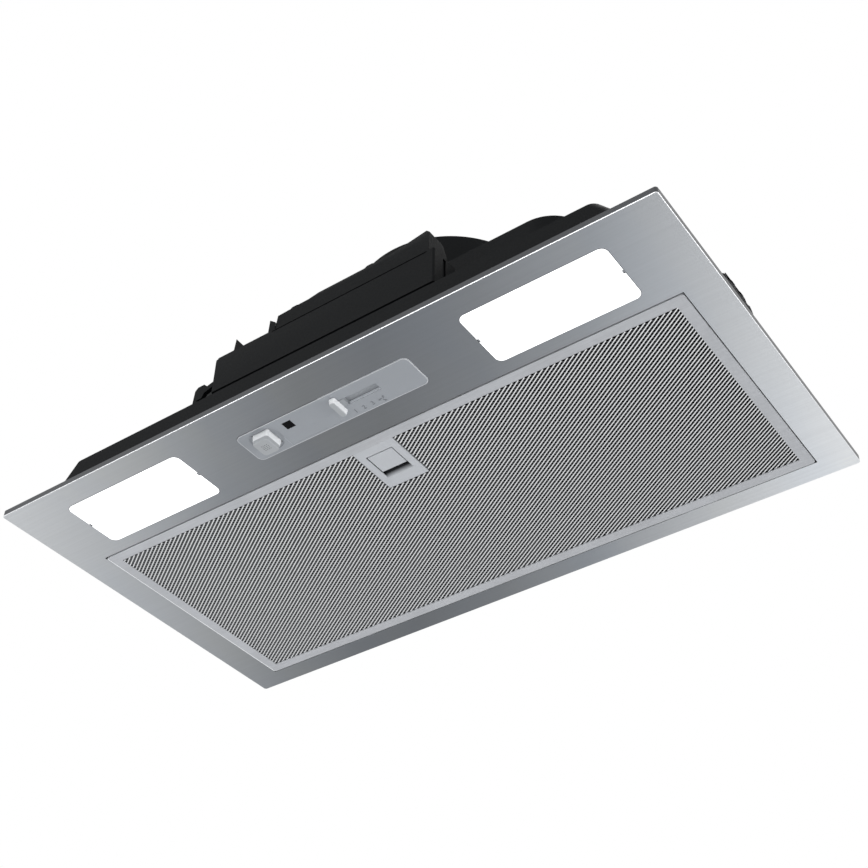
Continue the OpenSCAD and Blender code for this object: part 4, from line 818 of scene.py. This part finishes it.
def meshSheet(s, nodeName, pieceName, finish):
    unit = added("strandCrossing", strandCrossing(s))
    holder = added("latticeHolder", bpy.data.meshes.new("latticeHolder"))
    weave = holder.modifiers.new("strands", "NODES")
    weave.node_group, inputs = latticeTree()
    weave[inputs["Crossing"]], weave[inputs["Finish"]] = unit, finish
    for label, key in latticeSockets.items():
        weave[inputs[label]] = s[key]
    piece = baked(holder, pieceName, finish)
    bpy.data.objects.remove(unit)
    shape = bmesh.new()
    shape.from_mesh(piece.data)
    bmesh.ops.holes_fill(shape, edges=[edge for edge in shape.edges if edge.is_boundary], sides=4)
    shape.to_mesh(piece.data)
    shape.free()
    rest(piece, [nodeName], "filter")
    print(pieceName, len(piece.data.polygons), "faces")


meshSheet(meshSizes, "filter_face_mesh", "filterFaceStrands", finishes["meshMetal"])
meshSheet(backSizes, "filter_back_mesh", "filterBackStrands", finishes["backMesh"])

# Steel panel, its lower bend rounded more than the cut edges

panelEdges = {"bend": 0.3 * mm, "cut": 0.15 * mm}
panelLow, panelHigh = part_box("bottom_panel")


def panelEdge(edge):
    ends = [vert.co for vert in edge.verts]
    outside = all(abs(v.x) > panelHigh[0] - mm or abs(v.y) > panelHigh[1] - mm for v in ends)
    atFace = max(v.z for v in ends) < panelLow[2] + 0.1 * mm
    return panelEdges["bend" if outside and atFace else "cut"]


filterEdges = {
    "inner": 0.35 * mm,
    "outer": 0.1 * mm,
    "left": 0.55 * mm,
    "margin": 0.5 * mm,
    "rear": 124.2 * mm,
    "face": -4 * mm,
}
filterLow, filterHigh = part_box("filter_frame")


def frameEdge(edge):
    ends, margin = [vert.co for vert in edge.verts], filterEdges["margin"]
    if all(v.x < filterLow[0] + margin and v.z < filterEdges["face"] for v in ends):
        return filterEdges["left"]
    outside = all(abs(v.x) > filterHigh[0] - margin or v.y < filterLow[1] + margin
                  or v.y > filterEdges["rear"] for v in ends)
    return filterEdges["outer" if outside else "inner"]


controls = {  # piece and width of its eased edges
    "latch_handle": ("latchHandleShell", 0.3 * mm),
    "control_plate": ("controlPlateShell", 0.28 * mm),
    "light_button": ("lightButtonShell", 0.3 * mm),
    "slider_knob": ("sliderKnobShell", 0.25 * mm),
}
softened("bottom_panel", "panelShell", 0, 3, wider=panelEdge)
softened("filter_frame", "filterFrameShell", 0, wider=frameEdge)
for nodeName, (pieceName, width) in controls.items():
    softened(nodeName, pieceName, width)
print("panel, filter and controls are shaped")

# Casing, housing and other mouldings, with their edges eased

block = {
    "leftEnd": -2 * mm,
    "rightEnd": 3 * mm,
    "endDepth": 8 * mm,
    "finDepth": (1 * mm, 4 * mm),
    "roof": 66 * mm,
    "foot": 35 * mm,
    # x and height over the roof of each fin's corner in the solid, then as shown, in mm
    "fins": [(18.0, 0.0, 12.9, 0.0), (18.6, 7.5, 14.3, 12.2), (24.0, 0.0, 22.6, 0.0), (47.7, 0.0, 43.8, 0.0),
             (48.1, 7.0, 44.6, 13.2), (50.3, 4.0, 49.5, 9.0), (50.3, 0.0, 50.0, 0.0)],
    "lidLeft": (-3.8 * mm, 1.6 * mm),  # shift along x and rise of the top at this end
    "lidRight": (-0.8 * mm, 0.2 * mm),
    "lidHeight": 19 * mm,
    "lidFront": 0.6 * mm,
    "cornerRound": 2.2 * mm,
    "footRound": 1.3 * mm,
    "edge": 0.5 * mm,
    # a near-black strip along the seam under the lid, painted shade
    "seamShadeHeight": 0.75 * mm,
    "seamShadeProud": 0.12 * mm,
    "seamShadeInset": 1.2 * mm,
    "seamShadeBelowRoof": 0.55 * mm,
    "seamShadeShort": 2 * mm,
}
boxLow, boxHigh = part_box("electronics_box")


def boxForm(shape):
    finFront, finBack = (boxLow[1] + depth for depth in block["finDepth"])
    for vert in shape.verts:
        along, rise = (vert.co.x - boxLow[0]) / mm, (vert.co.z - block["roof"]) / mm
        for x, z, newX, newZ in block["fins"]:
            if finFront < vert.co.y < finBack and max(abs(along - x), abs(rise - z)) < 0.3:
                vert.co.x, vert.co.z = boxLow[0] + newX * mm, block["roof"] + newZ * mm
                break
        if vert.co.x < boxLow[0] + block["endDepth"]:
            vert.co.x += block["leftEnd"]
        elif vert.co.x > boxHigh[0] - block["endDepth"]:
            vert.co.x += block["rightEnd"]


def boxEdge(edge):
    a, b = edge.verts[0].co, edge.verts[1].co
    if max(a.z, b.z) < block["foot"] + 0.1 * mm:
        return block["footRound"]
    if min(a.z, b.z) > block["roof"] - 0.1 * mm and max(a.x, b.x) < boxLow[0] + mm:
        return block["cornerRound"]
    return block["edge"]


def lidForm(shape):
    left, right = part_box("electronics_lid")
    for vert in shape.verts:
        share = (vert.co.x - left[0]) / (right[0] - left[0])
        high = max(0.0, (vert.co.z - block["roof"]) / block["lidHeight"])
        vert.co.x += block["lidLeft"][0] * (1 - share) + block["lidRight"][0] * share
        vert.co.z += high * (block["lidLeft"][1] * (1 - share) + block["lidRight"][1] * share)
        if vert.co.y < left[1] + 5 * mm and high > 0.5:
            vert.co.y = min(vert.co.y, left[1] + block["lidFront"])


# the strip stands in the seam between lid and box as painted shade
def lidSeal():
    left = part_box("electronics_lid")[0][0] + block["lidLeft"][0]
    right, front = boxHigh[0] + block["lidRight"][0] - block["seamShadeShort"], boxLow[1]
    back, top, rings = front + block["seamShadeInset"], block["roof"] - block["seamShadeBelowRoof"], []
    for drop, share in ((1, 0.5), (0.5, 1), (0, 0.5)):
        face, level = front - block["seamShadeProud"] * share, top - block["seamShadeHeight"] * drop
        rings.append([(left, face, level), (right, face, level), (right, back, level), (left, back, level)])
    piece = linked("lidSeal", solid("lidSeal", rings), finishes["paintedShadeBlack"])
    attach(piece, "root")


mouldings = {  # piece and width of its eased edges
    "casing_base": ("casingShell", 0.8 * mm),
    "blower_housing": ("housingShell", 0.8 * mm),
    "outlet_collar": ("collarShell", 0.4 * mm),
    "volute_base": ("voluteShell", 0.4 * mm),
    "cable_gland": ("glandShell", 0.4 * mm),
    "left_flap": ("leftFlapShell", 0.25 * mm),
    "right_flap": ("rightFlapShell", 0.25 * mm),
    "control_frame": ("controlFrameShell", 0.25 * mm),
    "motor_top_cap": ("topCapShell", 0.4 * mm),
    "motor_bottom_cap": ("bottomCapShell", 0.4 * mm),
    "terminal_block": ("terminalBlockShell", 0.25 * mm),
    "terminal_cover": ("terminalCoverShell", 0.3 * mm),
    "light_switch": ("lightSwitchShell", 0.2 * mm),
    "speed_switch": ("speedSwitchShell", 0.2 * mm),
    "led_driver": ("driverShell", 0.4 * mm),
    "left_lamp_tray": ("leftTrayShell", 0.25 * mm),
    "right_lamp_tray": ("rightTrayShell", 0.25 * mm),
}
for nodeName, (pieceName, width) in mouldings.items():
    softened(nodeName, pieceName, width, sharp=40)
softened("electronics_box", "electronicsBoxShell", 0, 3, 40, wider=boxEdge, formed=boxForm)
softened("electronics_lid", "electronicsLidShell", 0.1 * mm, 1, 40, formed=lidForm)
lidSeal()
print("mouldings are eased")

# Coil springs: softened copies of their nodes, each given its own mesh

springs = {  # piece, joint, axis, fixed end and share of the length kept
    "latch_spring": ("latchSpringCoil", "latch_slide", (0, 1, 0), (0, -16.03 * mm, 0), 0.756),
    "button_spring": ("buttonSpringCoil", "light_press", (0, 0, 1), (0, 0, 3.46 * mm), 0.674),
}
for nodeName, (pieceName, joint, way, anchor, keep) in springs.items():
    coil = softened(nodeName, pieceName, 0)
    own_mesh(coil)
print("springs are coiled")

# Raised marks on the control plate and the dotted key top

marks = {
    "digitSize": 5.1 * mm,
    "digitRise": 0.3 * mm,
    "row": -91.6 * mm,
    "surface": -5.5 * mm,
    "digits": [("1", 13.4 * mm), ("2", 20.2 * mm), ("3", 27.2 * mm)],
    "boostAt": 34.9 * mm,
    "boostReach": 2.45 * mm,
    "boostTurns": (15, 135, 255),
    "arrow": [(0.15, 0.05), (0.55, 0.55), (0.35, 0.62), (0.95, 1.0), (0.98, 0.28), (0.8, 0.42),
              (0.38, -0.12)],
    "dotRadius": 0.34 * mm,
    "dotPitch": 1.45 * mm,
    "dotGrid": (4, 4),
    "dotSteps": 10,
    "dotProfile": [(0, 0.1), (1, 0.1), (1, -0.03), (0.6, -0.1), (0, -0.12)],  # share of radius, height in mm
    "keyAt": (-52.7 * mm, -102.4 * mm, -12.5 * mm),
}


def plateMark(mesh, x):
    mesh.transform(Matrix(((1, 0, 0, x), (0, -1, 0, marks["row"]), (0, 0, -1, marks["surface"]),
                           (0, 0, 0, 1))))


def plateDigits():
    whole, half, reach = bmesh.new(), marks["digitRise"] / 2, marks["boostReach"]
    for letter, x in marks["digits"]:
        words = bpy.data.curves.new("digit", "FONT")
        words.body, words.size = letter, marks["digitSize"]
        words.align_x = words.align_y = "CENTER"
        words.extrude, words.resolution_u = half, 3
        holder = added("digit", words)
        mesh = evaluated(holder)
        plateMark(mesh, x)
        whole.from_mesh(mesh)
        bpy.data.objects.remove(holder)
    for turn in marks["boostTurns"]:
        mesh = solid("arrow", [[(u * reach, v * reach, z) for u, v in marks["arrow"]] for z in (-half, half)])
        mesh.transform(Matrix.Rotation(math.radians(turn), 4, "Z"))
        plateMark(mesh, marks["boostAt"])
        whole.from_mesh(mesh)
    bmesh.ops.remove_doubles(whole, verts=whole.verts, dist=1e-7)
    piece = linked("speedMarks", meshOf("speedMarks", whole), finishes["markShadeGrey"])
    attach(piece, "root")
    return piece


print("speed marks:", len(plateDigits().data.polygons), "faces")

# One tree places a unit shape on every point of a set, turned by the point's own angles


def placingTree():
    tree, inputs, given = startTree("unitPlacing", {
        "Points": "Geometry", "Unit": "Object", "Turn Name": "String", "Finish": "Material"})
    turn = wired(tree, "GeometryNodeInputNamedAttribute", Name=given.outputs["Turn Name"])
    turn.data_type = "FLOAT_VECTOR"
    pieces = placed(tree, given.outputs["Points"], given.outputs["Unit"], Rotation=turn.outputs["Attribute"])
    finishTree(tree, pieces, given.outputs["Finish"])
    return tree, inputs


placing, placingInputs = placingTree()


def repeated(name, unitMesh, places, turns, finish):
    points = bpy.data.meshes.new(name + "Points")
    points.from_pydata(places, [], [])
    angles = points.attributes.new("turn", "FLOAT_VECTOR", "POINT")
    angles.data.foreach_set("vector", [angle for turn in turns for angle in turn])
    holder, unit = added(name + "Points", points), added(name + "Unit", unitMesh)
    spread = holder.modifiers.new("placing", "NODES")
    spread.node_group = placing
    for label, value in (("Unit", unit), ("Turn Name", "turn"), ("Finish", finish)):
        spread[placingInputs[label]] = value
    piece = baked(holder, name, finish)
    bpy.data.objects.remove(unit)
    smooth(piece.data)
    return piece


def lathed(name, profile, steps=24):
    shape = bmesh.new()
    turns = [2 * math.pi * k / steps for k in range(steps)]
    skin(shape, [[(radius * math.cos(turn), radius * math.sin(turn), height) for turn in turns]
                 for radius, height in profile])
    bmesh.ops.remove_doubles(shape, verts=shape.verts, dist=1e-7)
    return meshOf(name, shape)


def boxMesh(name, low, high):
    shape = bmesh.new()
    bmesh.ops.create_cube(shape, size=1)
    for vert in shape.verts:
        vert.co = [l + (h - l) * (c + 0.5) for l, h, c in zip(low, high, vert.co)]
    return meshOf(name, shape, False)


def islands(nodeName):
    shape = bmesh.new()
    shape.from_mesh(frame["nodes"][nodeName].data)
    bmesh.ops.remove_doubles(shape, verts=shape.verts, dist=1e-6)
    left, boxes = set(shape.verts), []
    while left:
        stack, part = [left.pop()], []
        while stack:
            vert = stack.pop()
            part.append(vert.co.copy())
            near = left & {edge.other_vert(vert) for edge in vert.link_edges}
            left -= near
            stack += near
        boxes.append([[limit(values) for values in zip(*part)] for limit in (min, max)])
    shape.free()
    return sorted(boxes)


# Screws: domed head with a cross recess, on a threaded shank

screws = {  # piece, axis, height of the head and radius of the shank
    "housing_screws": ("housingScrews", "Z", 2.5 * mm, 1.75 * mm),
    "collar_screws": ("collarScrews", "Z", 2.5 * mm, 1.75 * mm),
    "motor_screws": ("motorScrews", "Z", 2.5 * mm, 1.75 * mm),
    "clip_screws": ("clipScrews", "X", 2.0 * mm, 1.75 * mm),
    "cover_screws": ("coverScrews", "X", 1.8 * mm, 1.75 * mm),
}
screwShape = {
    "pitch": 0.9 * mm,
    "threadFrom": 0.6 * mm,  # over the tip
    "threadTo": 1.2 * mm,  # under the head
    "neck": 0.5 * mm,
    "tip": 0.3,  # these three are shares of the shank's radius
    "root": 0.8,
    "crest": 0.995,
    "rim": 0.35,  # share of the head's height below its dome
    "dome": (0.35, 0.7, 1.05, 1.35),
    "recess": (0.55, 0.11),
    "spin": 0.7,
}


def screwMesh(head, headHeight, shank, length):
    s = screwShape
    profile, z = [(0, -length), (shank * s["tip"], -length)], -length + s["threadFrom"]
    while z < -s["threadTo"]:
        profile += [(shank * s["root"], z), (shank * s["crest"], z + s["pitch"] / 2)]
        z += s["pitch"]
    rim = headHeight * s["rim"]
    profile += [(shank * s["root"], -s["neck"]), (shank * s["root"], 0), (head, 0), (head, rim)]
    profile += [(head * math.cos(a), rim + (headHeight - rim) * math.sin(a)) for a in s["dome"]]
    body = added("screwBody", lathed("screwBody", profile + [(0, headHeight)]))
    cutters = []
    for long, short in (s["recess"], s["recess"][::-1]):
        x, y = head * short, head * long
        cutters.append(added("recess", boxMesh("recess", (-x, -y, rim), (x, y, headHeight * 1.5))))
        cut = body.modifiers.new("recess", "BOOLEAN")
        cut.operation, cut.solver, cut.object = "DIFFERENCE", "EXACT", cutters[-1]
    mesh = evaluated(body)
    for thing in [body] + cutters:
        bpy.data.objects.remove(thing)
    return mesh


for nodeName, (pieceName, way, headHeight, shank) in screws.items():
    boxes = islands(nodeName)
    k = "XYZ".index(way)
    across = (k + 1) % 3
    head = (boxes[0][1][across] - boxes[0][0][across]) / 2
    length = boxes[0][1][k] - boxes[0][0][k] - headHeight
    places, turns = [], []
    for order, (low, high) in enumerate(boxes):
        middle = [(a + b) / 2 for a, b in zip(low, high)]
        side = 1 if way == "Z" or middle[0] > 0 else -1
        middle[k] = high[k] - headHeight if side > 0 else low[k] + headHeight
        places.append(middle)
        spin = screwShape["spin"] * order
        turns.append((0, 0, spin) if way == "Z" else (spin, side * math.pi / 2, 0))
    unit = screwMesh(head, headHeight, shank, length)
    piece = repeated(pieceName, unit, places, turns, finishes["zincPlating"])
    rest(piece, [nodeName], bodyOfNode[nodeName])
print("screws are placed")

# Dots on the lighting key, and ribs round the motor's seat

keyX, keyY, keyZ = marks["keyAt"]
columns, rows = marks["dotGrid"]
dotPlaces = [(keyX + (i - (columns - 1) / 2 + 0.25 * (j % 2)) * marks["dotPitch"],
              keyY + (j - (rows - 1) / 2) * marks["dotPitch"], keyZ)
             for i in range(columns) for j in range(rows)]
dotProfile = [(share * marks["dotRadius"], height * mm) for share, height in marks["dotProfile"]]
keyDots = repeated("keyDots", lathed("keyDot", dotProfile, marks["dotSteps"]), dotPlaces,
                   [(0, 0, 0)] * len(dotPlaces), finishes["dotGrey"])
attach(keyDots, "light_button")

ribs = {
    "centre": (-118 * mm, 14 * mm, 105 * mm),
    "count": 12,
    "from": 33 * mm,
    "to": 58 * mm,
    "slope": 4 * mm,
    "tipShare": 0.25,
    "width": 1.6 * mm,
    "topShare": 0.7,
    "height": 2.2 * mm,
    "sunk": -0.3 * mm,
    "ring": 30 * mm,
    "ringTop": 1 * mm,
    "ringFoot": 1.2 * mm,
    "ringSteps": 96,
}


def ribMesh():
    half, foot = ribs["width"] / 2, ribs["sunk"]
    stations = [(ribs["from"], 1.0), (ribs["to"] - ribs["slope"], 1.0), (ribs["to"], ribs["tipShare"])]
    rings = []
    for x, share in stations:
        edge, top = half * ribs["topShare"], ribs["height"] * share
        rings.append([(x, -half, foot), (x, -edge, top), (x, edge, top), (x, half, foot)])
    return solid("rib", rings)


seatRibs = repeated("motorSeatRibs", ribMesh(), [ribs["centre"]] * ribs["count"],
                    [(0, 0, 2 * math.pi * (k + 0.5) / ribs["count"]) for k in range(ribs["count"])],
                    finishes["casingBlack"])
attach(seatRibs, "root")
ring, foot, top = ribs["ring"], ribs["ringFoot"], ribs["ringTop"]
ringProfile = [(ring - foot, ribs["sunk"]), (ring - top, ribs["height"]), (ring + top, ribs["height"]),
               (ring + foot, ribs["sunk"]), (ring - foot, ribs["sunk"])]
seatRing = repeated("motorSeatRing", lathed("seatRing", ringProfile, ribs["ringSteps"]), [ribs["centre"]],
                    [(0, 0, 0)], finishes["casingBlack"])
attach(seatRing, "root")

# Side clips: the bend falls away towards its ends, and a near-black sheet stands behind the windows as
# painted shade

clipBow = {"half": 19.3 * mm, "drop": 5 * mm, "from": 27 * mm, "top": 54 * mm, "cuts": 16}
windowShades = {"x": (248.1 * mm, 247 * mm), "z": (44.6 * mm, 52.6 * mm), "thick": 0.5 * mm, "half": 14 * mm}


def bowed(shape):
    half, cuts = clipBow["half"], clipBow["cuts"]
    for k in range(1, cuts):
        bmesh.ops.bisect_plane(shape, geom=shape.verts[:] + shape.edges[:] + shape.faces[:],
                               plane_co=(0, half * (2 * k / cuts - 1), 0), plane_no=(0, 1, 0))
    for vert in shape.verts:
        high = max(0.0, (vert.co.z - clipBow["from"]) / (clipBow["top"] - clipBow["from"]))
        vert.co.z -= clipBow["drop"] * high * (abs(vert.co.y) / half) ** 5


softened("left_clip", "leftClipShell", 0.15 * mm, 1, bent=bowed)
softened("right_clip", "rightClipShell", 0.15 * mm, 1, bent=bowed)


def clipWindowShade(side):
    (footX, topX), (footZ, topZ), thick, half = (windowShades[key] for key in ("x", "z", "thick", "half"))
    section = [(footX, footZ), (footX - thick, footZ), (topX - thick, topZ), (topX, topZ)]
    name = "rightClipLining" if side > 0 else "leftClipLining"
    mesh = solid(name, [[(side * x, y, z) for x, z in section] for y in (-half, half)])
    # the near-black sheet behind the clip's windows is painted shade
    piece = linked(name, mesh, finishes["paintedShadeBlack"])
    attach(piece, "root")


for side in (-1, 1):
    clipWindowShade(side)
print("small parts are placed")
